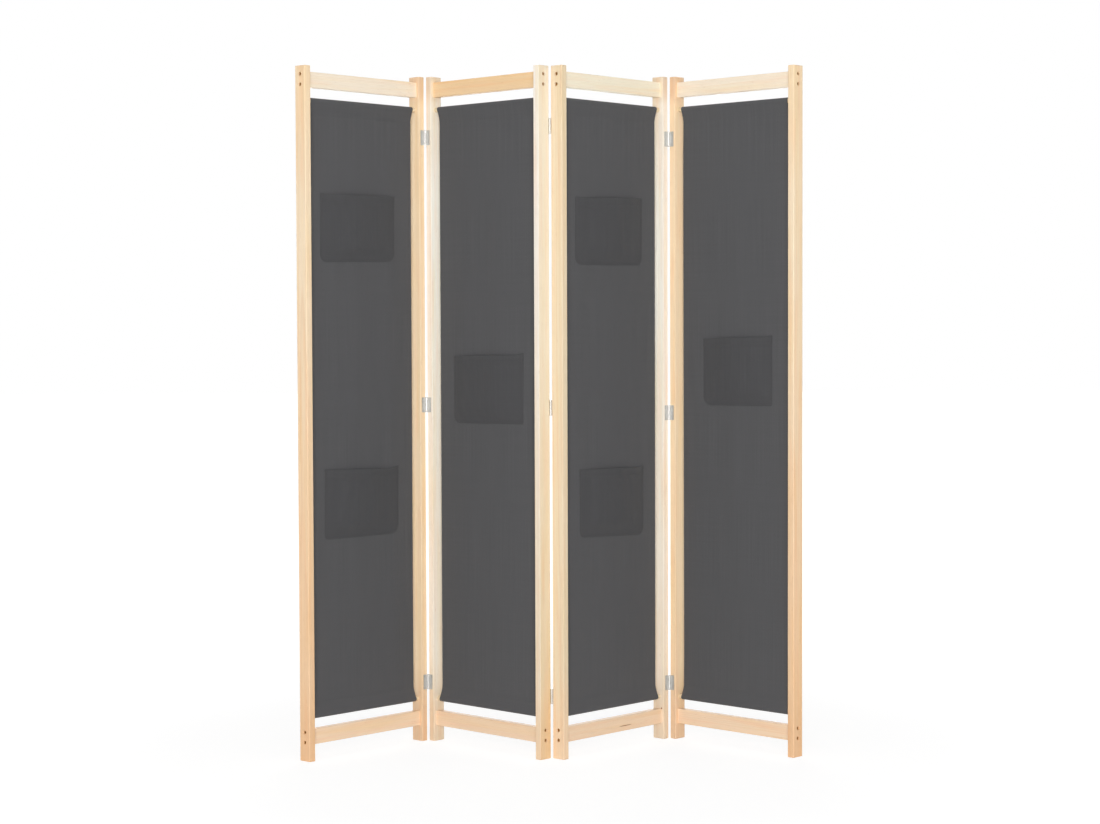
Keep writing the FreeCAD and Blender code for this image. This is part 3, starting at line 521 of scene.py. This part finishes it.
def closedSheet(front, back):  # two grids of points, rows by columns, joined round their edges
    rows, columns = front.shape[:2]
    points = np.concatenate([front.reshape(-1, 3), back.reshape(-1, 3)])
    spot = np.arange(rows * columns).reshape(rows, columns)
    under = spot + rows * columns
    faces = []
    for i in range(rows - 1):
        for j in range(columns - 1):
            faces.append((spot[i, j], spot[i + 1, j], spot[i + 1, j + 1], spot[i, j + 1]))
            faces.append((under[i, j], under[i, j + 1], under[i + 1, j + 1], under[i + 1, j]))
    rim = [(0, j) for j in range(columns)] + [(i, columns - 1) for i in range(1, rows)]
    rim += [(rows - 1, j) for j in range(columns - 2, -1, -1)] + [(i, 0) for i in range(rows - 2, 0, -1)]
    for a, b in zip(rim, rim[1:] + rim[:1]):
        faces.append((spot[a], spot[b], under[b], under[a]))
    return points, [tuple(int(k) for k in face) for face in faces]


def smooth(t):
    t = np.clip(t, 0, 1)
    return t * t * (3 - 2 * t)


def runLengths(path):  # distance of each point from the first, along the line
    return np.concatenate([[0], np.cumsum(np.linalg.norm(np.diff(path, axis=0), axis=1))])


def roundedEdge(gap, settings):  # share of the full thickness this far in from a sheet's edge
    inward = np.clip(gap / settings["edgeRound"], 0, 1)
    return np.sqrt(np.clip(1 - (1 - inward) ** 2, settings["edgeLeast"], 1))


# Cloth: one length of canvas a panel, folded round a dowel at each end and sewn down behind.
cloth = {
    "thickness": 0.8 * mm,
    "slack": 0.3 * mm,         # between casing and dowel
    "seamDrop": 30 * mm,       # dowel's middle to the seam that closes the casing
    "flap": 7 * mm,            # turned edge behind the seam
    "flapLift": (1.25, 1.1, 1.05),     # its distance from the sheet in thicknesses, edge to seam
    "casingBow": 1.25,
    "bendSteps": 15,
    "topHalf": 171.5 * mm,     # half the casings' lengths
    "lowHalf": 173.5 * mm,
    "drawnHalf": 169 * mm,     # sides pull in between the casings
    "topFlare": 28 * mm,
    "lowFlare": 40 * mm,
    "hem": 11 * mm,            # double edge down each side
    "hemThick": 0.5 * mm,
    "hemStep": 1 * mm,
    "hemClear": 3 * mm,
    "edgeRound": 0.8 * mm,
    "edgeLeast": 0.04,
    "edgeColumns": (0, 0.25, 0.8, 2.5, 6),     # in millimetres
    "wave": 0.9 * mm,          # long upright waves, that die away near the seams
    "waveLengths": (145 * mm, 96 * mm, 61 * mm),
    "waveShare": (0.3, 0.6),
    "waveSlope": 0.05,
    "waveFade": 120 * mm,
    "gather": 0.3 * mm,        # short puckers that start below the seams and die away
    "gatherLengths": (37 * mm, 23 * mm),
    "gatherStart": 10 * mm,
    "gatherFade": 45 * mm,
    "rowStep": 9 * mm,
    "columnStep": 6 * mm,
    "seed": 200,
}


def rodLines(number):  # height of each dowel's middle and its radius, top and bottom
    boxes = [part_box("panel_%d_%s_rod" % (number, end)) for end in ("top", "bottom")]
    return [((low.z + high.z) / 2, (high.z - low.z) / 2) for low, high in boxes]


def clothSlack(number, x, z):  # how far the cloth stands off its plane, towards the back
    dice = np.random.default_rng(cloth["seed"] + number)
    (topZ, _), (lowZ, _) = rodLines(number)
    fromTop, fromLow = topZ - cloth["seamDrop"] - z, z - lowZ - cloth["seamDrop"]
    held = smooth(fromTop / cloth["waveFade"]) * smooth(fromLow / cloth["waveFade"])
    away = np.zeros_like(x)
    for length in cloth["waveLengths"]:
        phase = dice.uniform(0, fullTurn)
        slope = dice.uniform(-cloth["waveSlope"], cloth["waveSlope"])
        share = dice.uniform(*cloth["waveShare"]) * length / max(cloth["waveLengths"])
        away += cloth["wave"] * share * np.sin(fullTurn * (x + slope * z) / length + phase) * held
    for near in (fromTop, fromLow):
        fade = np.exp(-np.clip(near, 0, None) / cloth["gatherFade"])
        fade = fade * smooth(near / cloth["gatherStart"]) * (near > 0)
        for length in cloth["gatherLengths"]:
            phase = dice.uniform(0, fullTurn)
            away += cloth["gather"] * np.sin(fullTurn * x / length + phase) * fade
    return away


def clothProfile(number):  # line of the cloth seen from its edge, as (y, z) points from flap to flap
    sheet = cloth["thickness"]
    (topZ, rod), (lowZ, _) = rodLines(number)
    bend = rod + cloth["slack"] + sheet / 2
    drop, flap = cloth["seamDrop"], cloth["flap"]
    lean = math.asin((bend - sheet) / drop)
    sweep = np.linspace(-lean, math.pi, cloth["bendSteps"])
    edgeLift, flapLift, seamLift = (lift * sheet for lift in cloth["flapLift"])
    quarters = (0.25, 0.5, 0.75)

    def casing(zRod, way):  # from the flap's edge, round the dowel, to the seam in front
        turn = np.column_stack([bend * np.cos(sweep), way * bend * np.sin(sweep)]) + (0, zRod)
        (startY, startZ), (endY, endZ) = turn[0], turn[-1]
        seamZ = zRod - way * drop
        line = [(edgeLift, seamZ - way * flap), (flapLift, seamZ - 0.5 * way * flap), (seamLift, seamZ)]
        line += [(seamLift + t * (startY - seamLift), seamZ + t * (startZ - seamZ)) for t in quarters]
        line += [tuple(point) for point in turn]
        line += [(endY * (1 - t) ** cloth["casingBow"], endZ + t * (seamZ - endZ)) for t in (*quarters, 1)]
        return np.array(line)

    top, low = casing(topZ, 1), casing(lowZ, -1)[::-1]
    steps = int((top[-1, 1] - low[0, 1]) / cloth["rowStep"])
    flat = np.column_stack([np.zeros(steps - 1), np.linspace(top[-1, 1], low[0, 1], steps + 1)[1:-1]])
    return np.concatenate([top, flat, low])


def makeCloth(number):
    line = clothProfile(number)
    run = np.gradient(line, axis=0)
    run /= np.linalg.norm(run, axis=1)[:, None]
    outward = np.column_stack([run[:, 1], -run[:, 0]])
    length = runLengths(line)

    half, hem = cloth["drawnHalf"], cloth["hem"]
    inner = np.linspace(hem + cloth["hemClear"], half, int((half - hem) / cloth["columnStep"]))
    edge = np.array(cloth["edgeColumns"]) * mm
    fromEdge = np.concatenate([edge, [hem, hem + cloth["hemStep"]], inner])
    u = np.concatenate([fromEdge - half, (half - fromEdge[:-1])[::-1]])
    edgeGap = half - np.abs(u)

    (topZ, _), (lowZ, _) = rodLines(number)
    z = line[:, 1]
    fromEnd = np.minimum(topZ - z, z - lowZ)
    topFlare = (cloth["topHalf"] - half) * (1 - np.clip((topZ - z) / cloth["topFlare"], 0, 1)) ** 2
    lowFlare = (cloth["lowHalf"] - half) * (1 - np.clip((z - lowZ) / cloth["lowFlare"], 0, 1)) ** 2
    x = u[None, :] * (1 + (topFlare + lowFlare) / half)[:, None]
    seamless = (line[:, 0] < cloth["thickness"]) & (fromEnd > cloth["seamDrop"])
    away = clothSlack(number, x, np.repeat(z[:, None], len(u), 1)) * seamless[:, None]

    thin = cloth["thickness"] / 2 * roundedEdge(edgeGap, cloth)
    folded = cloth["hemThick"] * (edgeGap <= hem) * roundedEdge(edgeGap, cloth)
    sides = []
    for sign, offset in ((1, thin), (-1, thin + folded)):
        y = line[:, 0:1] + sign * outward[:, 0:1] * offset + away
        height = z[:, None] + sign * outward[:, 1:2] * offset
        sides.append(np.stack([x, y, height], axis=2))
    points, faces = closedSheet(*sides)
    flat = np.stack([x, np.repeat(-length[:, None], len(u), 1)], axis=2).reshape(-1, 2)
    name = "panel_%d_cloth" % number
    cut = np.concatenate([flat, flat])
    piece = makePiece(name + "_canvas", points, faces, clothMaterial, number, cut)
    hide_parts(name)
    return piece, length[-1]


# Stitches: lockstitch, each one a short arched thread that dips into the cloth at both ends.
stitch = {
    "length": 3.0 * mm,
    "gap": 0.8 * mm,
    "radius": 0.28 * mm,
    "sink": 0.22 * mm,
    "sides": 6,
    # along the stitch, rise and girth as shares of its length, sink and radius
    "shape": ((0, -1.0, 0.5), (0.16, 0.35, 0.95), (0.5, 0.8, 1.0), (0.84, 0.35, 0.95), (1, -1.0, 0.5)),
    "casingInset": 3 * mm,     # from the casing's seam line, and from its ends
    "casingPoints": 90,
    "casingDepth": 1.6,        # thread behind the flap, in thicknesses
    "hemInset": 2 * mm,
    "hemStart": 12 * mm,
}


def stitchRow(path, way):  # along a line of points, on the cloth's front (way -1) or back (way 1)
    steps = runLengths(path)
    up = np.array((0.0, way, 0.0))
    n, shape = stitch["sides"], stitch["shape"]
    starts = np.arange(stitch["gap"], steps[-1] - stitch["length"], stitch["length"] + stitch["gap"])
    angles = np.linspace(0, fullTurn, n, endpoint=False)
    points, faces = [], []
    for start in starts:
        first = len(points)
        at = start + stitch["length"] * np.array([along for along, _, _ in shape])
        middle = np.column_stack([np.interp(at, steps, path[:, k]) for k in range(3)])
        ahead = middle[-1] - middle[0]
        ahead /= np.linalg.norm(ahead)
        side = np.cross(ahead, up)
        for centre, (_, rise, girth) in zip(middle, shape):
            core = centre + up * rise * stitch["sink"]
            for angle in angles:
                spoke = math.cos(angle) * side + math.sin(angle) * up
                points.append(core + spoke * stitch["radius"] * girth)
        for ring in range(len(shape) - 1):
            for k in range(n):
                a, b = first + ring * n + k, first + ring * n + (k + 1) % n
                faces.append((a, b, b + n, a + n))
        faces.append(tuple(range(first + n - 1, first - 1, -1)))
        last = first + (len(shape) - 1) * n
        faces.append(tuple(range(last, last + n)))
    return points, faces


def joinRows(rows):
    points, faces = [], []
    for rowPoints, rowFaces in rows:
        shift = len(points)
        points += rowPoints
        faces += [tuple(k + shift for k in face) for face in rowFaces]
    return points, faces


def clothRows(number):  # casing seams and side hems, seen from both sides
    (topZ, _), (lowZ, _) = rodLines(number)
    half, drop = cloth["drawnHalf"], cloth["seamDrop"] + stitch["casingInset"]
    topSeam, lowSeam = topZ - drop, lowZ + drop
    sheet, rows = cloth["thickness"], []
    for z in (topSeam, lowSeam):
        end = half - stitch["casingInset"]
        x = np.linspace(-end, end, stitch["casingPoints"])
        away = clothSlack(number, x, np.full_like(x, z))
        for way, offset in ((-1, -0.5 * sheet), (1, stitch["casingDepth"] * sheet)):
            rows.append(stitchRow(np.column_stack([x, away + offset, np.full_like(x, z)]), way))
    for side in (-1, 1):
        z = np.arange(lowSeam + stitch["hemStart"], topSeam - stitch["hemStart"], cloth["rowStep"])
        x = np.full_like(z, side * (half - cloth["hem"] + stitch["hemInset"]))
        away = clothSlack(number, x, z)
        for way, offset in ((-1, -0.5 * sheet), (1, 0.5 * sheet + cloth["hemThick"])):
            rows.append(stitchRow(np.column_stack([x, away + offset, z]), way))
    return rows


# Pockets: patches with a hemmed mouth, sewn on at the sides and below.
pocket = {
    "thickness": 0.8 * mm,
    "standOff": 0.55,          # its middle before the cloth's face, in thicknesses
    "height": 173 * mm,
    "seam": 6 * mm,
    "belly": 8 * mm,
    "mouth": 9 * mm,
    "bellyLift": 36 * mm,
    "bellyArch": 1.15,
    "hem": 18 * mm,            # the mouth lies double, and stands out by some of a thickness
    "hemLift": 1.1,
    "hemBlend": 3 * mm,
    "pucker": 0.25 * mm,       # slight creases in three directions
    "creaseLengths": (74 * mm, 48 * mm, 31 * mm),
    "creaseLean": 0.5,
    "creasePhase": 6.28,       # about a full turn
    "earWidth": 17 * mm,       # turned corners that poke up at the mouth
    "earPower": 6,
    "edgeRound": 0.8 * mm,
    "edgeLeast": 0.05,
    "edgeColumns": (0, 0.25, 0.8, 2.2, 4, 6, 8),     # in millimetres
    "edgeClear": 0.05,         # share of half the width
    "innerColumns": 37,
    "cornerZone": 26 * mm,     # rows lie closer round the lower corners
    "cornerRows": 13,
    "sideRows": 24,
    "hemRows": (1.2 * mm, 6 * mm, 12 * mm, 16.6 * mm, 17.6 * mm),
    "fold": ((0.2 * mm, 0.12), (0, 0.5), (0.2 * mm, 0.88)),  # below the mouth, and share of the way over
    "backRows": (1 * mm, 6 * mm, 12 * mm, 17 * mm, 18 * mm),
    "stitchInset": 3.2 * mm,
    "stitchTop": 2 * mm,
    "mouthReach": 0.985,       # share of half the width
}
# Ends of the top and bottom edges as (x, z) in the panel's frame, left then right, how far the mouth's
# ends poke up, and the radii of the lower corners, all in millimetres.
pockets = {
    "panel_1_upper_pocket": {"top": ((-137, 1391), (110, 1393)), "bottom": ((-139, 1225), (109, 1229)),
                             "ears": (3, 0), "corners": (20, 22)},
    "panel_1_lower_pocket": {"top": ((-129, 713), (119, 706)), "bottom": ((-131, 540), (118, 540)),
                             "ears": (1, 6), "corners": (14, 26)},
    "panel_2_pocket": {"top": ((-119, 990), (128, 994)), "bottom": ((-120, 820), (127, 823)),
                       "ears": (0, 4), "corners": (20, 4)},
    "panel_3_upper_pocket": {"top": ((-134, 1380), (119, 1388)), "bottom": ((-135, 1216), (119, 1219)),
                             "ears": (3, 0), "corners": (22, 20)},
    "panel_3_lower_pocket": {"top": ((-120, 710), (122, 705)), "bottom": ((-120, 541), (122, 532)),
                             "ears": (0, 5), "corners": (16, 20)},
    "panel_4_pocket": {"top": ((-102, 1032), (120, 1037)), "bottom": ((-102, 863), (120, 865)),
                       "ears": (0, 3), "corners": (24, 4)},
}


def pocketSurface(name, number, across, up):  # across -1..1, up in metres from the bottom edge
    own = pockets[name]
    topLeft, topRight = np.array(own["top"]) * mm
    lowLeft, lowRight = np.array(own["bottom"]) * mm
    climb = np.clip(up / pocket["height"], 0, 1)
    left = lowLeft + climb[:, None] * (topLeft - lowLeft)
    right = lowRight + climb[:, None] * (topRight - lowRight)
    half = (topRight - topLeft)[0] / 2
    insets = []
    for corner in own["corners"]:
        below = np.clip(corner * mm - up, 0, corner * mm)
        insets.append(corner * mm - np.sqrt((corner * mm) ** 2 - below ** 2))
    reach = (right - left)[:, 0]
    share = (insets[0] + (across + 1) / 2 * (reach - insets[0] - insets[1])) / reach
    x, z = (left + share[:, None] * (right - left)).T
    sideGaps = (share * reach, (1 - share) * reach)
    ears = sum(ear * mm * np.exp(-(gap / pocket["earWidth"]) ** 2) for ear, gap in zip(own["ears"], sideGaps))
    z = z + climb ** pocket["earPower"] * ears
    inner = np.clip(np.abs(2 * share - 1) * half / (half - pocket["seam"]), 0, 1)
    arch = (1 - inner ** 2) ** pocket["bellyArch"]
    rise = pocket["belly"] * smooth((up - pocket["seam"]) / pocket["bellyLift"])
    rise = rise + (pocket["mouth"] - pocket["belly"]) * climb
    dice = np.random.default_rng(int(own["top"][0][1]) + number)
    leans = dice.uniform(-pocket["creaseLean"], pocket["creaseLean"], len(pocket["creaseLengths"]))
    phases = dice.uniform(0, pocket["creasePhase"], len(leans))
    crease = 0
    for lean, length, phase in zip(leans, pocket["creaseLengths"], phases):
        crease = crease + np.sin(fullTurn * (x * math.cos(lean) + up * math.sin(lean)) / length + phase)
    puckers = pocket["pucker"] * crease * smooth(arch * 2) * smooth(up / pocket["bellyLift"])
    return x, z, clothSlack(number, x, z), arch * rise + puckers


def hemRise(up):  # how far the doubled mouth stands out
    start = pocket["height"] - pocket["hem"] - pocket["hemBlend"]
    return pocket["hemLift"] * pocket["thickness"] * smooth((up - start) / pocket["hemBlend"])


def pocketWidth(name):
    (left, _), (right, _) = pockets[name]["top"]
    return (right - left) * mm


def makePocket(name):
    number = int(name.split("_")[1])
    sheet, height, zone = pocket["thickness"], pocket["height"], pocket["cornerZone"]
    hemEdge, half = height - pocket["hem"], pocketWidth(name) / 2
    cornerUps = zone * (1 - np.cos(np.linspace(0, math.pi / 2, pocket["cornerRows"])))
    sideUps = np.linspace(zone, hemEdge, pocket["sideRows"])[1:]
    edge = np.array(pocket["edgeColumns"]) * mm / half
    innermost = 1 - edge[-1] - pocket["edgeClear"]
    inner = np.linspace(-innermost, innermost, pocket["innerColumns"])
    across = np.concatenate([edge - 1, inner, (1 - edge)[::-1]])

    # The cloth runs up the front, over the mouth and down behind it as the hem.
    runs = [(up, 0.0) for up in (*cornerUps, *sideUps)]
    runs += [(hemEdge + up, 0.0) for up in pocket["hemRows"]]
    runs += [(height - below, over) for below, over in pocket["fold"]]
    runs += [(height - below, 1.0) for below in pocket["backRows"]]
    grid = []
    for up, over in runs:
        x, z, lie, bulge = pocketSurface(name, number, across, np.full_like(across, up))
        before = 0.5 * cloth["thickness"] + pocket["standOff"] * sheet
        grid.append(np.column_stack([x, lie - before - bulge - hemRise(up) * (1 - over), z]))
    line = np.array(grid)
    lengths = runLengths(line[:, len(across) // 2])
    alongRow, alongColumn = np.gradient(line, axis=1), np.gradient(line, axis=0)
    normal = np.cross(alongRow, alongColumn)
    normal /= np.linalg.norm(normal, axis=2)[..., None]
    offset = normal * (0.5 * sheet * roundedEdge((1 - np.abs(across)) * half, pocket))[None, :, None]
    points, faces = closedSheet((line + offset)[:, ::-1], (line - offset)[:, ::-1])
    flat = np.stack([line[:, ::-1, 0], np.repeat(lengths[:, None], len(across), 1)], axis=2).reshape(-1, 2)
    cut = np.concatenate([flat, flat])
    piece = makePiece(name + "_canvas", points, faces, pocketMaterial, number, cut)
    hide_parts(name)
    return piece, lengths[-1]


def pocketRows(name):  # one row down, along the bottom and up again, and one along the hem
    number = int(name.split("_")[1])
    sideCount, cornerCount, footCount = 40, 10, 60
    inset, zone, height = pocket["stitchInset"], pocket["cornerZone"], pocket["height"]
    reach = 1 - inset / (pocketWidth(name) / 2)
    side = np.linspace(height - pocket["stitchTop"], zone, sideCount)
    corner = inset + (zone - inset) * (1 - np.sin(np.linspace(0, math.pi / 2, cornerCount)))
    down = np.concatenate([side, corner])
    foot = np.linspace(-reach, reach, footCount)
    aroundUp = np.concatenate([down, np.full(footCount, inset), down[::-1]])
    around = np.concatenate([np.full(len(down), -reach), foot, np.full(len(down), reach)])
    mouth = np.linspace(-pocket["mouthReach"], pocket["mouthReach"], footCount)
    mouthUp = np.full(footCount, height - pocket["hem"] + pocket["stitchTop"])
    before = 0.5 * cloth["thickness"] + (pocket["standOff"] + 0.5) * pocket["thickness"]
    rows = []
    for across, up in ((around, aroundUp), (mouth, mouthUp)):
        x, z, lie, bulge = pocketSurface(name, number, across, up)
        rows.append(stitchRow(np.column_stack([x, lie - before - bulge - hemRise(up), z]), -1))
    return rows


for number in panelNumbers:
    sheet, cutLength = makeCloth(number)
    rows = clothRows(number)
    mine = [name for name in pockets if name.startswith("panel_%d" % number)]
    for name in mine:
        patch, patchLength = makePocket(name)
        rows += pocketRows(name)
    stitching = makePiece("panel_%d_seam_thread" % number, *joinRows(rows), seamThread, number)


# Screws: headed and thread rolled. Countersunk ones with a cross recess hold the hinges, long ones
# with a hexagon socket hold the rails. The threads' crests keep the plain shank's size.
screws = {
    "hinge_screws": {
        "axis": 1, "material": zincSteel, "slot": "zinc_steel",
        "outline": ((0, 0.4), (3, 1.4), (10.9, 1.4), (11.9, 2.4), (12, 2.5)),
        "thread": (0.6, 9.6), "pitch": 1.25, "depth": 0.30,
        "recess": (4, ((1.45, -0.34), (1.45, 0.34), (0.34, 0.34))), "recessDepth": 1.2, "recessTaper": 0.5,
    },
    "frame_screws": {
        "axis": 0, "material": yellowSteel, "slot": "screw_steel",
        "outline": ((0, 1.2), (1.2, 2), (50, 2), (50, 4.0), (50.3, 4.3), (52.6, 4.3), (53, 3.9)),
        "thread": (0.8, 44), "pitch": 2.8, "depth": 0.45,
        "recess": (6, ((2.3, 0.0),)), "recessDepth": 2.0, "recessTaper": 0.98,
    },
}
screwCut = {
    "sides": 20,
    "stepsPerTurn": 6,
    "fade": (1.5, 3.0),        # the groove runs out towards tip and head, in millimetres
    "apart": 6 * mm,           # points closer than this along the strip belong to one screw
    "sharpAngle": 40,
}


def screwForm(kind):  # points and faces of one screw, its tip at the origin and its head up, in millimetres
    heights, radii = np.array(kind["outline"]).T
    (start, end), sides = kind["thread"], screwCut["sides"]
    tipFade, headFade = screwCut["fade"]
    steps = np.arange(start, end, kind["pitch"] / screwCut["stepsPerTurn"])
    levels = list(kind["outline"]) + [(z, np.interp(z, heights, radii)) for z in steps]
    levels.sort(key=lambda level: level[0])
    points, faces = [], []
    for z, r in levels:
        fade = float(smooth((z - start) / tipFade) * smooth((end - z) / headFade)) * min(1.0, r / radii[1])
        for k in range(sides):
            phase = (z / kind["pitch"] - k / sides) % 1
            groove = kind["depth"] * fade * min(1.0, 3 * abs(2 * phase - 1))
            angle = fullTurn * k / sides
            points.append(((r - groove) * math.cos(angle), (r - groove) * math.sin(angle), z))
    for ring in range(len(levels) - 1):
        for k in range(sides):
            a, b = ring * sides + k, ring * sides + (k + 1) % sides
            faces.append((a, b, b + sides, a + sides))
    faces.append(tuple(range(sides - 1, -1, -1)))

    turns, corners = kind["recess"]  # the corners of one arm or side, and how often they repeat
    socket = []
    for turn in range(turns):
        cos, sin = math.cos(fullTurn * turn / turns), math.sin(fullTurn * turn / turns)
        socket += [(x * cos - y * sin, x * sin + y * cos) for x, y in corners]
    top, rim = heights[-1], list(range(len(points) - sides, len(points)))
    first = len(points)
    taper = kind["recessTaper"]
    points += [(x, y, top) for x, y in socket]
    points += [(x * taper, y * taper, top - kind["recessDepth"]) for x, y in socket]
    mouth = list(range(first, first + len(socket)))
    loops = [[Vector(points[k]) for k in rim], [Vector(points[k]) for k in mouth]]
    faces += [tuple((rim + mouth)[k] for k in triangle) for triangle in tessellate_polygon(loops)]
    for a, b in zip(mouth, mouth[1:] + mouth[:1]):
        faces.append((a, b, b + len(socket), a + len(socket)))
    faces.append(tuple(k + len(socket) for k in mouth))
    return np.array(points) * mm, faces


def screwPlaces(name, number, axis):  # where each head ends and which way it faces, in the panel's frame
    toPanel = panels[number].inverted()
    points = np.array([toPanel @ vertex.co for vertex in nodes[name].data.vertices])
    places = []
    for side in (-1, 1):
        own = points[points[:, 0] * side > 0]
        own = own[np.argsort(own[:, 2])]
        for part in np.split(own, np.where(np.diff(own[:, 2]) > screwCut["apart"])[0] + 1):
            if len(part):
                place = (part.min(0) + part.max(0)) / 2
                out = np.sign(place[axis])
                place[axis] = out * np.abs(part[:, axis]).max()
                places.append((place, out))
    return places


for kindName, kind in screws.items():
    form, formFaces = screwForm(kind)
    form = form - (0, 0, form[:, 2].max())
    for number in panelNumbers:
        name = "panel_%d_%s" % (number, kindName)
        rows = []
        for place, out in screwPlaces(name, number, kind["axis"]):
            up = np.eye(3)[kind["axis"]] * out
            across = np.array((0.0, 0.0, 1.0))
            basis = np.array([across, np.cross(up, across), up])
            rows.append(([tuple(p) for p in form @ basis + place], formFaces))
        piece = makePiece(name + "_steel", *joinRows(rows), kind["material"], number)
        solid = bmesh.new()
        solid.from_mesh(piece.data)
        bmesh.ops.recalc_face_normals(solid, faces=solid.faces)
        solid.to_mesh(piece.data)
        solid.free()
        piece.data.set_sharp_from_angle(angle=math.radians(screwCut["sharpAngle"]))
        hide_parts(name)
    print(kindName, len(formFaces), "faces each")


# Stage: white paper. To the camera and in reflections it glows white, and near the screen it takes a
# share of real light and shadow. Glow and light together add up to white there.
stage = {
    "size": 60.0,
    "paper": "#f4f4f4",
    "roughness": 0.9,
    "shadowShare": 0.27,
    "shadowReach": (0.8, 2.4),
    "glow": 1.16,
}
bpy.ops.mesh.primitive_plane_add(size=stage["size"])
floor = bpy.context.object
floor.name = "floor"
paper, paperTree, paperShader = newMaterial("matt_paper")
setInputs(paperShader, {
    "Base Color": linear(stage["paper"]), "Roughness": stage["roughness"], "Specular IOR Level": 0.0})


def seenDirectly(tree):  # 1 where the eye, a mirror or a glass looks, 0 where light bounces
    path = addNode(tree, "ShaderNodeLightPath")
    total = path.outputs["Is Camera Ray"]
    for ray in ("Is Glossy Ray", "Is Transmission Ray"):
        total = addNode(tree, "ShaderNodeMath", {0: total, 1: path.outputs[ray]}, operation="MAXIMUM")
    return total


glow = addNode(paperTree, "ShaderNodeEmission", {"Color": (1, 1, 1, 1), "Strength": stage["glow"]})
spot = addNode(paperTree, "ShaderNodeNewGeometry")
apart = addNode(paperTree, "ShaderNodeVectorMath", {0: spot.outputs["Position"]}, operation="LENGTH")
near, far = stage["shadowReach"]
clear = addNode(paperTree, "ShaderNodeMapRange", {
    "Value": apart.outputs["Value"], "From Min": near, "From Max": far,
    "To Min": 1 - stage["shadowShare"], "To Max": 1.0}, interpolation_type="SMOOTHSTEP")
share = addNode(paperTree, "ShaderNodeMath", {0: seenDirectly(paperTree), 1: clear}, operation="MULTIPLY")
seen = addNode(paperTree, "ShaderNodeMixShader", {0: share, 1: paperShader, 2: glow})
paperOut = next(item for item in paperTree.nodes if item.type == "OUTPUT_MATERIAL")
setInputs(paperOut, {"Surface": seen})
floor.data.materials.append(paper)

# Light: an even white studio with one broad lamp before the screen, one behind it and weak ones around.
studio = {"ambient": 0.18, "aim": (0, 0, 0.85)}
lamps = {
    "frontLamp": {"place": (-0.2, -6.8, 0.85), "size": 3.6, "power": 460},
    "leftLamp": {"place": (-3.4, -3.6, 1.7), "size": 2.4, "power": 14},
    "rightLamp": {"place": (3.4, -3.6, 1.7), "size": 2.4, "power": 14},
    "backLamp": {"place": (0.2, 6.8, 0.85), "size": 3.6, "power": 460},
    "topLamp": {"place": (0.0, -0.6, 4.6), "size": 3.2, "power": 45},
}
world = bpy.data.worlds.new("studio")
bpy.context.scene.world = world
world.use_nodes = True
worldTree = world.node_tree
worldTree.nodes.clear()
around = addNode(worldTree, "ShaderNodeBackground", {"Color": (1, 1, 1, 1), "Strength": studio["ambient"]})
white = addNode(worldTree, "ShaderNodeBackground", {"Color": (1, 1, 1, 1), "Strength": 1.0})
sky = addNode(worldTree, "ShaderNodeMixShader", {0: seenDirectly(worldTree), 1: around, 2: white})
addNode(worldTree, "ShaderNodeOutputWorld", {"Surface": sky})
aim = Vector(studio["aim"])
for name, settings in lamps.items():
    lamp = bpy.data.lights.new(name, "AREA")
    lamp.size = settings["size"]
    lamp.energy = settings["power"]
    holder = bpy.data.objects.new(name, lamp)
    bpy.context.scene.collection.objects.link(holder)
    holder.location = settings["place"]
    holder.rotation_euler = (aim - holder.location).to_track_quat("-Z", "Y").to_euler()

# Camera: fitted to the stiles' edges in the photograph.
lens = {
    "place": (-0.1583, -5.7493, 1.0704),
    "yaw": 0.02779,
    "pitch": 0.03831,
    "roll": 0.0035,
    "focalPixels": 2293.3,
    "imageWidth": 1100,
    "sensor": 36.0,
}
yaw, pitch, roll = lens["yaw"], lens["pitch"], lens["roll"]
forward = Vector((math.sin(yaw) * math.cos(pitch), math.cos(yaw) * math.cos(pitch), -math.sin(pitch)))
level = Vector((math.cos(yaw), -math.sin(yaw), 0))
down = forward.cross(level)
right = math.cos(roll) * level + math.sin(roll) * down
camera = bpy.data.cameras.new("camera")
camera.sensor_fit = "HORIZONTAL"
camera.sensor_width = lens["sensor"]
camera.lens = lens["focalPixels"] / lens["imageWidth"] * lens["sensor"]
viewer = bpy.data.objects.new("camera", camera)
bpy.context.scene.collection.objects.link(viewer)
turned = Matrix((right, -forward.cross(right), -forward)).transposed().to_4x4()
turned.translation = lens["place"]
viewer.matrix_world = turned
bpy.context.scene.camera = viewer
bpy.context.scene.view_settings.view_transform = "Standard"
print("stage, light and camera")
